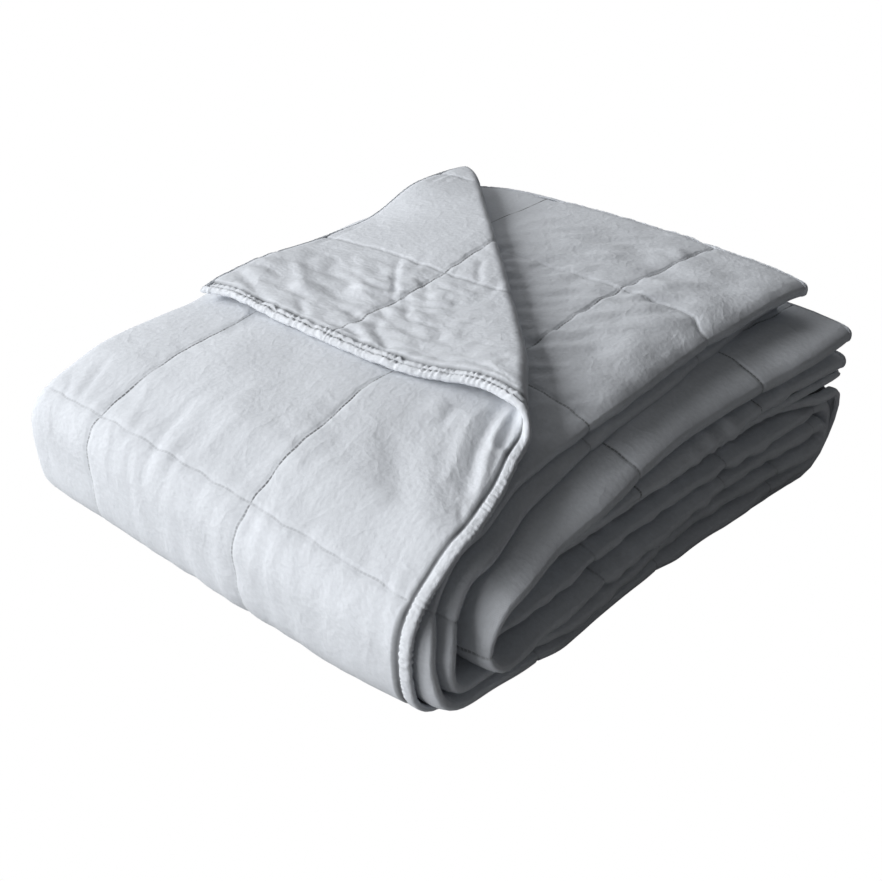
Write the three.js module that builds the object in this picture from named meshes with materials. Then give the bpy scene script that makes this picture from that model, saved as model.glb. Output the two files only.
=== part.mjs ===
// A grid-quilted bed quilt, folded into a pack with one corner of its outer layer turned back.
// Millimetres, +Z up. The pack rests on z = 0 round the origin. Its long front fold faces -Y,
// and its sides, where the layers turn back and forth, face +X and -X.
//
// A point of the flat quilt is (a, b): a runs across it from the right hem, b along it from the
// back hem. It is first folded back and forth across into a strip of five layers, then the strip
// is folded along into four segments: top, bottom, middle and tail, from the hem that lies on
// top to the hem that lies under the top segment.
import * as THREE from "three";

// Cloth
const LAYERS = 5;
const PITCH = 7;
const CLOTH_THICKNESS = 5.6;
const SEAM_THICKNESS = 2.6;
const EDGE_THICKNESS = 2.4;
const SEAM_HALF_WIDTH = 14;
const EDGE_FLAT_WIDTH = 7;
const EDGE_RAMP_WIDTH = 22;

// Binding: a channel of thin cloth round the edge, open towards the quilt
const BINDING_WIDTH = 6.2;
const BINDING_OVERHANG = 1.4;
const BINDING_WALL = 0.8;
const PIECE_GAP = 0.3;
const END_GAP = 0.6;

// Flat quilt: stretches along b, and the blocks of the quilting
const TOP_LENGTH = 455;
const FRONT_FOLD_LENGTH = 180;
const INNER_LENGTH = 430;
const INNER_FOLD_LENGTH = 55;
const TAIL_LENGTH = 450;
const PANEL_WIDTH = 436;
const ACROSS_SEAMS = [172, 345, 768];
const ALONG_SEAMS = [140, 305, 508, 1260, 1610, 1770, 1931];

// Pack
const STACK = LAYERS * PITCH;
const FRONT_REACH = -264;
const BACK_REACH = 271;
const FRONT_CENTRE = FRONT_REACH + 2 * STACK;
const BACK_CENTRE = BACK_REACH - STACK;
const FLOOR_CLEARANCE = (PITCH - CLOTH_THICKNESS) / 2;
const MID_DEPTH = 30;
const ROUND_POWER = 2;
const BLUNT_POWER = 4;

// The pack is pressed at its front fold and loose at its back: height factor by y
const HEIGHTS = [
  { y: FRONT_REACH, factor: 0.91 },
  { y: -231, factor: 0.88 },
  { y: FRONT_CENTRE, factor: 0.97 },
  { y: -92, factor: 1.16 },
  { y: MID_DEPTH, factor: 1.3 },
  { y: 146, factor: 1.37 },
  { y: 270, factor: 1.38 },
];

// Its left shoulder sinks behind the front fold, where the layers turn loosely: height factor
// by x, at the front fold and from mid-depth on to the back
const SHOULDER = -130;
const SIDES = [
  { x: -250, front: 1.02, back: 0.91 },
  { x: SHOULDER, front: 1.05, back: 1.01 },
  { x: 250, front: 1.0, back: 1.04 },
];

// Turned-back corner: where its fold meets the right hem and the back hem, the radius of its
// roll there, and how far behind the roll the corner settles on the layer below
const FLAP = { onRightHem: 360, onBackHem: 408, hemRadius: 10, backRadius: 4.6, settle: 60 };
const FLAP_ROLL_STEPS = 6;
const FLAP_SETTLE_STEPS = [60];
const HEM_LIFT = { x: 178, y: -110, height: 3, spread: 45 };

// Stations along b at which the side edges of the pack are given
const FRONT_START = TOP_LENGTH;
const FRONT_END = FRONT_START + FRONT_FOLD_LENGTH;
const BACK_START = FRONT_END + INNER_LENGTH;
const BACK_END = BACK_START + INNER_FOLD_LENGTH;
const NOSE_START = BACK_END + INNER_LENGTH;
const NOSE_END = NOSE_START + INNER_FOLD_LENGTH;
const LENGTH = NOSE_END + TAIL_LENGTH;
const WIDTH = LAYERS * PANEL_WIDTH;
const STATIONS = {
  topBack: 0,
  topMiddle: 360,
  topFront: FRONT_START,
  front: (FRONT_START + FRONT_END) / 2,
  bottom: (FRONT_END + BACK_START) / 2,
  back: (BACK_START + BACK_END) / 2,
  middle: (BACK_END + NOSE_START) / 2,
  nose: (NOSE_START + NOSE_END) / 2,
  tail: LENGTH,
};

// The six edges of the zig-zag, from the right hem to the far hem: x of each at the stations,
// y of its two free ends, and the height and phase of the slow wave that it wanders by
const EDGES = [
  { topBack: 154, topMiddle: 165, topFront: 200, front: 205, bottom: 212, back: 232, middle: 216,
    nose: 212, tail: 214, topEnd: 288, tailEnd: 252, wave: 0, phase: 0 },
  { topBack: -218, topMiddle: -218, topFront: -246, front: -253, bottom: -247, back: -240,
    middle: -243, nose: -248, tail: -236, topEnd: 230, tailEnd: 254, wave: 1.5, phase: 1.0 },
  { topBack: 203, topMiddle: 198, topFront: 207, front: 213, bottom: 227, back: 244, middle: 240,
    nose: 234, tail: 232, topEnd: 241, tailEnd: 254, wave: 2.5, phase: 2.2 },
  { topBack: -222, topMiddle: -222, topFront: -243, front: -250, bottom: -243, back: -236,
    middle: -247, nose: -250, tail: -238, topEnd: 236, tailEnd: 252, wave: 2.0, phase: 3.7 },
  { topBack: 211, topMiddle: 212, topFront: 217, front: 222, bottom: 230, back: 245, middle: 238,
    nose: 231, tail: 240, topEnd: 237, tailEnd: 259, wave: 3.0, phase: 5.1 },
  { topBack: -219, topMiddle: -224, topFront: -239, front: -246, bottom: -238, back: -234,
    middle: -244, nose: -245, tail: -233, topEnd: 240, tailEnd: 257, wave: 2.0, phase: 0.6 },
];
const WAVE_LENGTH = 310;
const END_BOW = 10;

// Steps round the folds, the least step between places of the flat quilt, and the step of the
// slopes that give the surface its normal
const SIDE_FOLD_STEPS = 4;
const FRONT_FOLD_STEPS = 8;
const INNER_FOLD_STEPS = 4;
const LEAST_STEP = 1;
const SLOPE_STEP = 0.02;
const SNAP = 1e-6;

const lerp = THREE.MathUtils.lerp;
const clamp = THREE.MathUtils.clamp;

// A value between table rows, straight from row to row.
function between(rows, key, value, at) {
  let i = 1;
  while (i < rows.length - 1 && at > rows[i][key]) {
    i += 1;
  }
  const share = (at - rows[i - 1][key]) / (rows[i][key] - rows[i - 1][key]);
  return lerp(rows[i - 1][value], rows[i][value], share);
}

// x of one edge of the zig-zag at b.
function edgeX(edge, b) {
  const rows = Object.entries(STATIONS).map(([name, at]) => ({ at, x: edge[name] }));
  let i = 1;
  while (i < rows.length - 1 && b > rows[i].at) {
    i += 1;
  }
  const share = clamp((b - rows[i - 1].at) / (rows[i].at - rows[i - 1].at), 0, 1);
  const eased = THREE.MathUtils.smoothstep(share, 0, 1);
  const wander = edge.wave * Math.sin((2 * Math.PI * b) / WAVE_LENGTH + edge.phase);
  return lerp(rows[i - 1].x, rows[i].x, eased) + wander;
}

// Folds the quilt back and forth: x, and the depth in the stack below its outer side.
function foldAcross(a, b) {
  const radius = PITCH / 2;
  const halfArc = (Math.PI * radius) / 2;
  const fold = clamp(Math.round(a / PANEL_WIDTH), 1, LAYERS - 1);
  const past = a - fold * PANEL_WIDTH;
  const sideOf = (k) => (k % 2 === 1 ? -1 : 1);
  if (Math.abs(past) < halfArc) {
    const turn = past / radius;
    const x = edgeX(EDGES[fold], b) + sideOf(fold) * radius * (Math.cos(turn) - 1);
    return { x, depth: fold * PITCH + radius * Math.sin(turn) };
  }
  const panel = clamp(Math.floor(a / PANEL_WIDTH), 0, LAYERS - 1);
  const isFold = (k) => k > 0 && k < LAYERS;
  const endAt = (k, inward) => k * PANEL_WIDTH + (isFold(k) ? inward * halfArc : 0);
  const endX = (k) => edgeX(EDGES[k], b) - (isFold(k) ? sideOf(k) * radius : 0);
  const start = endAt(panel, 1);
  const share = (a - start) / (endAt(panel + 1, -1) - start);
  return { x: lerp(endX(panel), endX(panel + 1), share), depth: (panel + 0.5) * PITCH };
}

// y of a free end of the strip, which is not cut square to the pack.
function endY(a, column) {
  const panel = clamp(Math.floor(a / PANEL_WIDTH), 0, LAYERS - 1);
  const share = a / PANEL_WIDTH - panel;
  const bow = panel === 0 ? 0 : 4 * END_BOW * share * (1 - share);
  return lerp(EDGES[panel][column], EDGES[panel + 1][column], share) + bow;
}

// Reach of a fold's rounded outline at an angle, from 1 on a circle to more on a blunt one.
function reach(angle) {
  const power = angle < 0 ? BLUNT_POWER : ROUND_POWER;
  const sum = Math.abs(Math.cos(angle)) ** power + Math.abs(Math.sin(angle)) ** power;
  return sum ** (-1 / power);
}

// Folds the strip along into its segments: y and z of a point at b, at a depth in the stack.
function foldAlong(a, b, depth) {
  if (b < FRONT_START) {
    return { y: lerp(endY(a, "topEnd"), FRONT_CENTRE, b / TOP_LENGTH), z: 4 * STACK - depth };
  }
  if (b < FRONT_END) {
    const angle = Math.PI * (0.5 - (b - FRONT_START) / FRONT_FOLD_LENGTH);
    const radius = (2 * STACK - depth) * reach(angle);
    return { y: FRONT_CENTRE - radius * Math.cos(angle), z: 2 * STACK + radius * Math.sin(angle) };
  }
  if (b < BACK_START) {
    return { y: lerp(FRONT_CENTRE, BACK_CENTRE, (b - FRONT_END) / INNER_LENGTH), z: depth };
  }
  if (b < BACK_END) {
    const angle = Math.PI * ((b - BACK_START) / INNER_FOLD_LENGTH - 0.5);
    const radius = STACK - depth;
    return { y: BACK_CENTRE + radius * Math.cos(angle), z: STACK + radius * Math.sin(angle) };
  }
  if (b < NOSE_START) {
    const y = lerp(BACK_CENTRE, FRONT_CENTRE, (b - BACK_END) / INNER_LENGTH);
    return { y, z: 2 * STACK - depth };
  }
  if (b < NOSE_END) {
    const angle = Math.PI * ((b - NOSE_START) / INNER_FOLD_LENGTH - 0.5);
    return { y: FRONT_CENTRE - depth * Math.cos(angle), z: 2 * STACK + depth * Math.sin(angle) };
  }
  const y = lerp(FRONT_CENTRE, endY(a, "tailEnd"), (b - NOSE_END) / TAIL_LENGTH);
  return { y, z: 2 * STACK + depth };
}

// Middle of the cloth in the pack before its corner is turned back.
function packPoint(a, b) {
  const { x, depth } = foldAcross(a, b);
  const { y, z } = foldAlong(a, b, depth);
  return new THREE.Vector3(x, y, z);
}

const FLAP_START = packPoint(0, FLAP.onRightHem);
const FLAP_END = packPoint(FLAP.onBackHem, 0);
const FLAP_RUN = FLAP_END.clone().sub(FLAP_START);
const FLAP_OUT = new THREE.Vector3(FLAP_RUN.y, -FLAP_RUN.x, 0).normalize();
const FLAP_LIMIT = (FLAP.onBackHem + PANEL_WIDTH) / 2;

// Rolls a point of the outer layer that lies past the corner's fold back over that layer.
function turnCorner(point) {
  const past = point.clone().sub(FLAP_START).dot(FLAP_OUT);
  if (past <= 0) {
    return point;
  }
  const share = point.clone().sub(FLAP_START).dot(FLAP_RUN) / FLAP_RUN.lengthSq();
  const radius = lerp(FLAP.hemRadius, FLAP.backRadius, clamp(share, 0, 1));
  const turn = past / radius;
  const foot = point.clone().addScaledVector(FLAP_OUT, -past);
  if (turn < Math.PI) {
    foot.z += radius * (1 - Math.cos(turn));
    return foot.addScaledVector(FLAP_OUT, radius * Math.sin(turn));
  }
  const behind = past - Math.PI * radius;
  foot.z += 2 * lerp(FLAP.backRadius, radius, Math.exp(-((behind / FLAP.settle) ** 2)));
  return foot.addScaledVector(FLAP_OUT, -behind);
}

// Middle of the cloth in the folded pack, its height not yet pressed.
function foldedPoint(a, b) {
  const point = packPoint(a, b);
  if (a < FLAP_LIMIT && b < TOP_LENGTH) {
    const turned = turnCorner(point);
    const off = Math.hypot(turned.x - HEM_LIFT.x, turned.y - HEM_LIFT.y);
    turned.z += HEM_LIFT.height * Math.exp(-((off / HEM_LIFT.spread) ** 2));
    return turned;
  }
  return point;
}

// Outward normal of the folded cloth.
function foldedNormal(a, b) {
  const step = SLOPE_STEP;
  const alongA = foldedPoint(a + step, b).sub(foldedPoint(a - step, b));
  const alongB = foldedPoint(a, b + step).sub(foldedPoint(a, b - step));
  return alongA.cross(alongB).normalize();
}

// How much the pack is pressed or loosened at a place.
function heightFactor(x, y) {
  const inward = clamp((y - FRONT_REACH) / (MID_DEPTH - FRONT_REACH), 0, 1);
  const side = lerp(between(SIDES, "x", "front", x), between(SIDES, "x", "back", x), inward);
  return side * between(HEIGHTS, "y", "factor", y);
}

// A point of the pack at (a, b), raised off the middle of the cloth and then pressed.
function pressedPoint(a, b, raise) {
  const point = foldedPoint(a, b).addScaledVector(foldedNormal(a, b), raise);
  point.z = (point.z - FLOOR_CLEARANCE) * heightFactor(point.x, point.y);
  return point;
}

// True where the outer side of the cloth lies on the surface under the pack.
function liesOnFloor(a, b) {
  return a < PANEL_WIDTH && b > FRONT_END - SNAP && b < BACK_START + SNAP;
}

// How full the filling is between the seams, from 0 on a seam to 1 inside a block.
function fullness(a, b) {
  const toSeam = (at, seams) => Math.min(...seams.map((seam) => Math.abs(at - seam)));
  const nearest = Math.min(toSeam(a, ACROSS_SEAMS), toSeam(b, ALONG_SEAMS));
  return Math.min(1, nearest / SEAM_HALF_WIDTH);
}

// Thickness of the quilted cloth, flattened inside the binding.
function thickness(a, b, full) {
  const inset = Math.min(a, WIDTH - a, b, LENGTH - b);
  const ramp = clamp((inset - EDGE_FLAT_WIDTH) / (EDGE_RAMP_WIDTH - EDGE_FLAT_WIDTH), 0, 1);
  return lerp(EDGE_THICKNESS, lerp(SEAM_THICKNESS, CLOTH_THICKNESS, full), ramp);
}

// Sorted places without near doubles.
function tidyPlaces(places) {
  const sorted = [...places].sort((p, q) => p - q);
  return sorted.filter((place, i) => i === 0 || place - sorted[i - 1] > LEAST_STEP);
}

const edgePlaces = (size) => [0, EDGE_FLAT_WIDTH, EDGE_RAMP_WIDTH].flatMap((d) => [d, size - d]);
const seamPlaces = (seams) => seams.flatMap((s) => [s - SEAM_HALF_WIDTH, s, s + SEAM_HALF_WIDTH]);
const stepPlaces = (start, end, steps) =>
  Array.from({ length: steps + 1 }, (_, i) => lerp(start, end, i / steps));

// Places across the flat quilt: hems, seams and the turns at the sides of the pack.
function placesAcross() {
  const halfArc = (Math.PI * PITCH) / 4;
  const folds = EDGES.slice(1, -1).map((_, i) => (i + 1) * PANEL_WIDTH);
  const turns = folds.flatMap((at) => stepPlaces(at - halfArc, at + halfArc, SIDE_FOLD_STEPS));
  const shoulders = EDGES.slice(0, -1).map((edge, panel) => {
    const share = (SHOULDER - edge.front) / (EDGES[panel + 1].front - edge.front);
    return (panel + share) * PANEL_WIDTH;
  });
  return tidyPlaces([...edgePlaces(WIDTH), ...seamPlaces(ACROSS_SEAMS), ...turns, ...shoulders]);
}

// Places along the flat quilt: hems, seams, folds and the rows of the height table.
function placesAlong() {
  const levels = HEIGHTS.map((row) => row.y).filter((y) => y > FRONT_CENTRE && y < BACK_CENTRE);
  const tailY = EDGES[0].tailEnd;
  const pressed = levels.flatMap((y) => [
    (TOP_LENGTH * (EDGES[2].topEnd - y)) / (EDGES[2].topEnd - FRONT_CENTRE),
    FRONT_END + (INNER_LENGTH * (y - FRONT_CENTRE)) / (BACK_CENTRE - FRONT_CENTRE),
    BACK_END + (INNER_LENGTH * (BACK_CENTRE - y)) / (BACK_CENTRE - FRONT_CENTRE),
    NOSE_END + (TAIL_LENGTH * (y - FRONT_CENTRE)) / (tailY - FRONT_CENTRE),
  ]);
  return tidyPlaces([
    ...edgePlaces(LENGTH),
    ...seamPlaces(ALONG_SEAMS),
    ...stepPlaces(FRONT_START, FRONT_END, FRONT_FOLD_STEPS),
    ...stepPlaces(BACK_START, BACK_END, INNER_FOLD_STEPS),
    ...stepPlaces(NOSE_START, NOSE_END, INNER_FOLD_STEPS),
    ...pressed,
    (STATIONS.topMiddle + STATIONS.topFront) / 2,
  ]);
}

// Straight lines of the flat quilt that lie along the corner's roll and behind it.
function flapLines() {
  const hemStretch = packPoint(0, FLAP.onRightHem).distanceTo(packPoint(0, 0)) / FLAP.onRightHem;
  const backStretch = packPoint(FLAP.onBackHem, 0).distanceTo(packPoint(0, 0)) / FLAP.onBackHem;
  const corner = packPoint(0, 0).sub(FLAP_START);
  const hemSlope = (corner.dot(FLAP_OUT) / corner.length()) * hemStretch;
  const back = packPoint(0, 0).sub(FLAP_END);
  const backSlope = (back.dot(FLAP_OUT) / back.length()) * backStretch;
  const lineAt = (hemPast, backPast) => ({
    a: FLAP.onBackHem - backPast / backSlope,
    b: FLAP.onRightHem - hemPast / hemSlope,
  });
  const turns = stepPlaces(0, Math.PI, FLAP_ROLL_STEPS);
  const roll = turns.map((turn) => lineAt(turn * FLAP.hemRadius, turn * FLAP.backRadius));
  const settle = FLAP_SETTLE_STEPS.map((past) =>
    lineAt(Math.PI * FLAP.hemRadius + past, Math.PI * FLAP.backRadius + past));
  return [...roll, ...settle];
}

// Splits every triangle of a flat pattern that a line crosses. A line is held by the places
// where it meets the back hem (a) and the right hem (b).
function cutPattern(pattern, line) {
  const { points } = pattern;
  const side = points.map(([a, b]) => {
    const value = a / line.a + b / line.b - 1;
    return Math.abs(value) < SNAP ? 0 : value;
  });
  const made = new Map();
  const crossing = (p, q) => {
    const key = p < q ? `${p} ${q}` : `${q} ${p}`;
    if (!made.has(key)) {
      const share = side[p] / (side[p] - side[q]);
      made.set(key, points.length);
      points.push([lerp(points[p][0], points[q][0], share), lerp(points[p][1], points[q][1], share)]);
    }
    return made.get(key);
  };
  pattern.triangles = pattern.triangles.flatMap((triangle) => {
    const signs = triangle.map((p) => Math.sign(side[p]));
    if (!(signs.includes(1) && signs.includes(-1))) {
      return [triangle];
    }
    const lone = [0, 1, 2].find((i) => signs.filter((sign) => sign === signs[i]).length === 1);
    const through = signs.indexOf(0);
    const first = through >= 0 ? through : lone;
    const [p, q, r] = [0, 1, 2].map((i) => triangle[(first + i) % 3]);
    if (through >= 0) {
      const m = crossing(q, r);
      return [[p, q, m], [p, m, r]];
    }
    const m = crossing(p, q);
    const n = crossing(p, r);
    return [[p, m, n], [m, q, r], [m, r, n]];
  });
}

// The flat quilt as triangles on its places, cut along the corner's roll.
function flatPattern(lines) {
  const across = placesAcross();
  const along = placesAlong();
  const points = along.flatMap((b) => across.map((a) => [a, b]));
  const triangles = [];
  for (let j = 0; j + 1 < along.length; j += 1) {
    for (let i = 0; i + 1 < across.length; i += 1) {
      const p = j * across.length + i;
      const q = p + across.length;
      triangles.push([p, p + 1, q], [p + 1, q + 1, q]);
    }
  }
  const pattern = { points, triangles };
  lines.forEach((line) => cutPattern(pattern, line));
  return pattern;
}

// The rim of a flat pattern as one loop of point numbers, in the sense of its triangles.
function rimLoop(pattern) {
  const next = new Map();
  const twins = new Set(pattern.triangles.flatMap(([p, q, r]) => [`${p} ${q}`, `${q} ${r}`, `${r} ${p}`]));
  pattern.triangles.forEach((triangle) => {
    triangle.forEach((p, i) => {
      const q = triangle[(i + 1) % 3];
      if (!twins.has(`${q} ${p}`)) {
        next.set(p, q);
      }
    });
  });
  const loop = [0];
  while (next.get(loop.at(-1)) !== 0) {
    loop.push(next.get(loop.at(-1)));
  }
  return loop;
}

// A mesh geometry from points and triangles.
function solid(points, triangles) {
  const geometry = new THREE.BufferGeometry().setFromPoints(points);
  geometry.setIndex(triangles.flat());
  geometry.computeVertexNormals();
  return geometry;
}

// The quilted cloth: both sides of the folded pattern and the wall round its rim.
function quiltSolid(pattern) {
  const count = pattern.points.length;
  const outer = pattern.points.map(([a, b]) => {
    const full = liesOnFloor(a, b) ? 1 : fullness(a, b);
    return pressedPoint(a, b, thickness(a, b, full) / 2);
  });
  const inner = pattern.points.map(([a, b]) => pressedPoint(a, b, -thickness(a, b, fullness(a, b)) / 2));
  const faces = pattern.triangles.flatMap(([p, q, r]) => [[p, q, r], [count + p, count + r, count + q]]);
  const loop = rimLoop(pattern);
  const wall = loop.flatMap((p, i) => {
    const q = loop[(i + 1) % loop.length];
    return [[p, count + p, q], [q, count + p, count + q]];
  });
  return solid([...outer, ...inner], [...faces, ...wall]);
}

// Where a point of the rim goes when it is moved in from the edge by a width.
function insetPlace([a, b], width, lines) {
  const line = lines.find((row) => Math.abs(a / row.a + b / row.b - 1) < SNAP);
  if (line && a < SNAP) {
    return [width, b - (width * line.b) / line.a];
  }
  if (line && b < SNAP) {
    return [a - (width * line.a) / line.b, width];
  }
  const move = (at, size) => {
    const fromStart = at < SNAP ? width : 0;
    return at > size - SNAP ? at - width : at + fromStart;
  };
  return [move(a, WIDTH), move(b, LENGTH)];
}

// The binding: a channel section carried round the rim of the quilt.
function bindingSolid(pattern, lines) {
  const slot = EDGE_THICKNESS / 2 + PIECE_GAP;
  const skin = slot + BINDING_WALL;
  const section = [
    [BINDING_WIDTH, skin], [0, skin], [-BINDING_OVERHANG, skin / 2], [-BINDING_OVERHANG, -skin / 2],
    [0, -skin], [BINDING_WIDTH, -skin], [BINDING_WIDTH, -slot], [-END_GAP, -slot],
    [-END_GAP, slot], [BINDING_WIDTH, slot],
  ];
  const loop = rimLoop(pattern);
  const points = loop.flatMap((p) => section.map(([width, raise]) =>
    pressedPoint(...insetPlace(pattern.points[p], width, lines), raise)));
  const sides = section.length;
  const triangles = loop.flatMap((_, i) => section.flatMap((__, s) => {
    const here = i * sides;
    const there = ((i + 1) % loop.length) * sides;
    const t = (s + 1) % sides;
    return [[here + s, here + t, there + s], [there + s, here + t, there + t]];
  }));
  return solid(points, triangles);
}

// Assembles the quilt and its binding.
function foldedQuilt() {
  const lines = flapLines();
  const pattern = flatPattern(lines);
  const cloth = new THREE.MeshStandardMaterial({ color: 0xc6cad1, roughness: 0.92, metalness: 0 });
  const strip = new THREE.MeshStandardMaterial({ color: 0xd0d4da, roughness: 0.9, metalness: 0 });
  const quilt = new THREE.Mesh(quiltSolid(pattern), cloth);
  quilt.name = "quilt";
  const binding = new THREE.Mesh(bindingSolid(pattern, lines), strip);
  binding.name = "binding";
  const pack = new THREE.Group();
  pack.add(quilt, binding);
  return pack;
}

export default foldedQuilt();
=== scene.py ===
"""A folded, grid-quilted bed quilt: its quilted sheet, its binding and a plain studio.

A place on the flat quilt is (a, b) in millimetres: a runs across it from the right hem, b along
it from the back hem. The quilt is folded back and forth across into a strip of layers, and the
strip is folded along into four segments. Meshes are in metres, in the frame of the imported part.
"""

from __future__ import annotations

import logging
import math
from collections.abc import Callable
from dataclasses import dataclass
from enum import Enum

import bmesh
import bpy
import numpy as np
from mathutils import Matrix, Vector


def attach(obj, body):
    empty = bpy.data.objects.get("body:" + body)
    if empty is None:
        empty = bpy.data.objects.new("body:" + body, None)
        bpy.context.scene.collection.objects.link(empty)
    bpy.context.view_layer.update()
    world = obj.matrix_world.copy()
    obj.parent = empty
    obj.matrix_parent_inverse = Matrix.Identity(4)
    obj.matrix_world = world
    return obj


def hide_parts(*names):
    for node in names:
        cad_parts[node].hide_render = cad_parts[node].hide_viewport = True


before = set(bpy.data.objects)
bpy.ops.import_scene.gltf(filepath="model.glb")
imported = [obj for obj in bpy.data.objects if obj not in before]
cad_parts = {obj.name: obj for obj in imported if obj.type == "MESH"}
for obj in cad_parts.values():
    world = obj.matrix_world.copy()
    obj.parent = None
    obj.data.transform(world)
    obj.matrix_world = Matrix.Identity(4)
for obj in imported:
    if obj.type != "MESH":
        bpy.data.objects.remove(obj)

LOG = logging.getLogger("folded_quilt")
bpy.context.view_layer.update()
BODY = "root"
MM = 0.001
TURN = 2.0 * math.pi
WHITE = (1.0, 1.0, 1.0, 1.0)

Array = np.ndarray
Socket = bpy.types.NodeSocket
Step = Callable[[float], float]


class Side(Enum):
    """The two sides of the quilted sheet, with the sign of their distance from its middle."""

    FACE = 1
    BACK = -1


def ease(share: Array) -> Array:
    """Smooth step from 0 to 1."""
    t = np.clip(share, 0.0, 1.0)
    return t * t * (3.0 - 2.0 * t)


def mix(low: Array | float, high: Array | float, share: Array) -> Array:
    """Value between low and high."""
    return low + (high - low) * share


def smooth_between(at: Array, places: Array, values: Array) -> Array:
    """A smooth curve through the rows of a table, level past its ends.

    Args:
        at: Places to read the curve at.
        places: Rising places of the rows.
        values: Values of the rows.

    Returns:
        The values at the places asked for.
    """
    slopes = np.gradient(values, places)
    i = np.clip(np.searchsorted(places, at) - 1, 0, len(places) - 2)
    span = places[i + 1] - places[i]
    t = np.clip((at - places[i]) / span, 0.0, 1.0)
    rise = ease(t)
    start_bend = t * (1.0 - t) ** 2 * span * slopes[i]
    end_bend = t * t * (t - 1.0) * span * slopes[i + 1]
    return mix(values[i], values[i + 1], rise) + start_bend + end_bend


def nearest(at: Array, stops: tuple[float, ...]) -> Array:
    """Distance from each place to the nearest stop."""
    return np.abs(np.asarray(at)[:, None] - np.array(stops)).min(axis=1)


@dataclass(frozen=True)
class Wander:
    """A smooth random line between -1 and 1.

    Attributes:
        length: Distance between its turning points, in mm.
        seed: Number that picks the line.
        count: Number of turning points after which it repeats.
    """

    length: float
    seed: int
    count: int = 4096

    def at(self, places: Array) -> Array:
        """Values of the line.

        Args:
            places: Places along it, in mm.

        Returns:
            Its values at the places.
        """
        values = np.random.default_rng(self.seed).uniform(-1.0, 1.0, self.count)
        place = np.asarray(places) / self.length
        i = np.floor(place).astype(int)
        return mix(values[i % self.count], values[(i + 1) % self.count], ease(place - i))


@dataclass(frozen=True)
class Patch:
    """A patch of the flat quilt that fades out round its middle, in mm.

    Attributes:
        a: Middle across the quilt.
        b: Middle along it.
        reach_a: Reach across.
        reach_b: Reach along.
    """

    a: float
    b: float
    reach_a: float
    reach_b: float

    def off(self, a: Array, b: Array) -> Array:
        """Squared distance from the middle, counted in reaches."""
        return ((a - self.a) / self.reach_a) ** 2 + ((b - self.b) / self.reach_b) ** 2


@dataclass(frozen=True)
class FoldEdge:
    """One edge of the zig-zag across the quilt, in mm.

    Attributes:
        x: Its place at the stations along the quilt.
        top_end: y of its end on top of the pack.
        tail_end: y of its end in the tail.
        wave: Height of the slow wave that it wanders by.
        phase: Phase of that wave.
    """

    x: tuple[float, ...]
    top_end: float
    tail_end: float
    wave: float
    phase: float


@dataclass(frozen=True)
class Flap:
    """The corner that is turned back, in mm.

    Attributes:
        on_right_hem: Where its fold meets the right hem.
        on_back_hem: Where its fold meets the back hem.
        hem_radius: Radius of its roll at the right hem.
        back_radius: Radius of its roll at the back hem.
        hem_share: Share of the fold over which the roll tapers.
        settle: How far past the roll the corner lies down.
    """

    on_right_hem: float = 360.0
    on_back_hem: float = 420.0
    hem_radius: float = 8.6
    back_radius: float = 3.2
    hem_share: float = 0.2
    settle: float = 60.0


@dataclass(frozen=True)
class Nudge(Patch):
    """A shift of the folded cloth by a move in x, y and z."""

    move: tuple[float, float, float]


# Seams of the quilting across (at a) and along (at b) the flat quilt
ACROSS_SEAMS = (172.0, 350.0, 560.0, 766.0, 940.0, 1112.0, 1285.0, 1457.0, 1630.0, 1802.0, 1975.0)
ALONG_SEAMS = (140.0, 298.0, 502.0, 673.0, 838.0, 1003.0, 1130.0, 1260.0, 1430.0, 1575.0, 1770.0, 1931.0)

# Seam that runs into the roll of the turned corner, and seam on the second layer
ROLL_SEAM = ALONG_SEAMS[1]
SECOND_SEAM = ACROSS_SEAMS[3]

# Edges of the zig-zag from the right hem to the far hem
PACK_EDGES = (
    FoldEdge((154, 179, 207, 214, 222, 217, 225, 218, 205, 222, 236), 288, 260, 0.0, 0.0),
    FoldEdge((-211, -220, -240, -260, -253, -247, -240, -243, -248, -242, -236), 238, 254, 1.5, 1.0),
    FoldEdge((195, 186, 203, 223, 239, 228, 236, 228, 224, 234, 240), 250, 259, 2.5, 2.2),
    FoldEdge((-222, -220, -237, -250, -247, -243, -236, -247, -250, -244, -238), 238, 252, 2.0, 3.7),
    FoldEdge((178, 198, 212, 232, 240, 228, 238, 232, 246, 228, 240), 239, 259, 3.0, 5.1),
    FoldEdge((-219, -222, -234, -246, -242, -238, -234, -244, -245, -239, -233), 240, 257, 2.0, 0.6),
)

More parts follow.
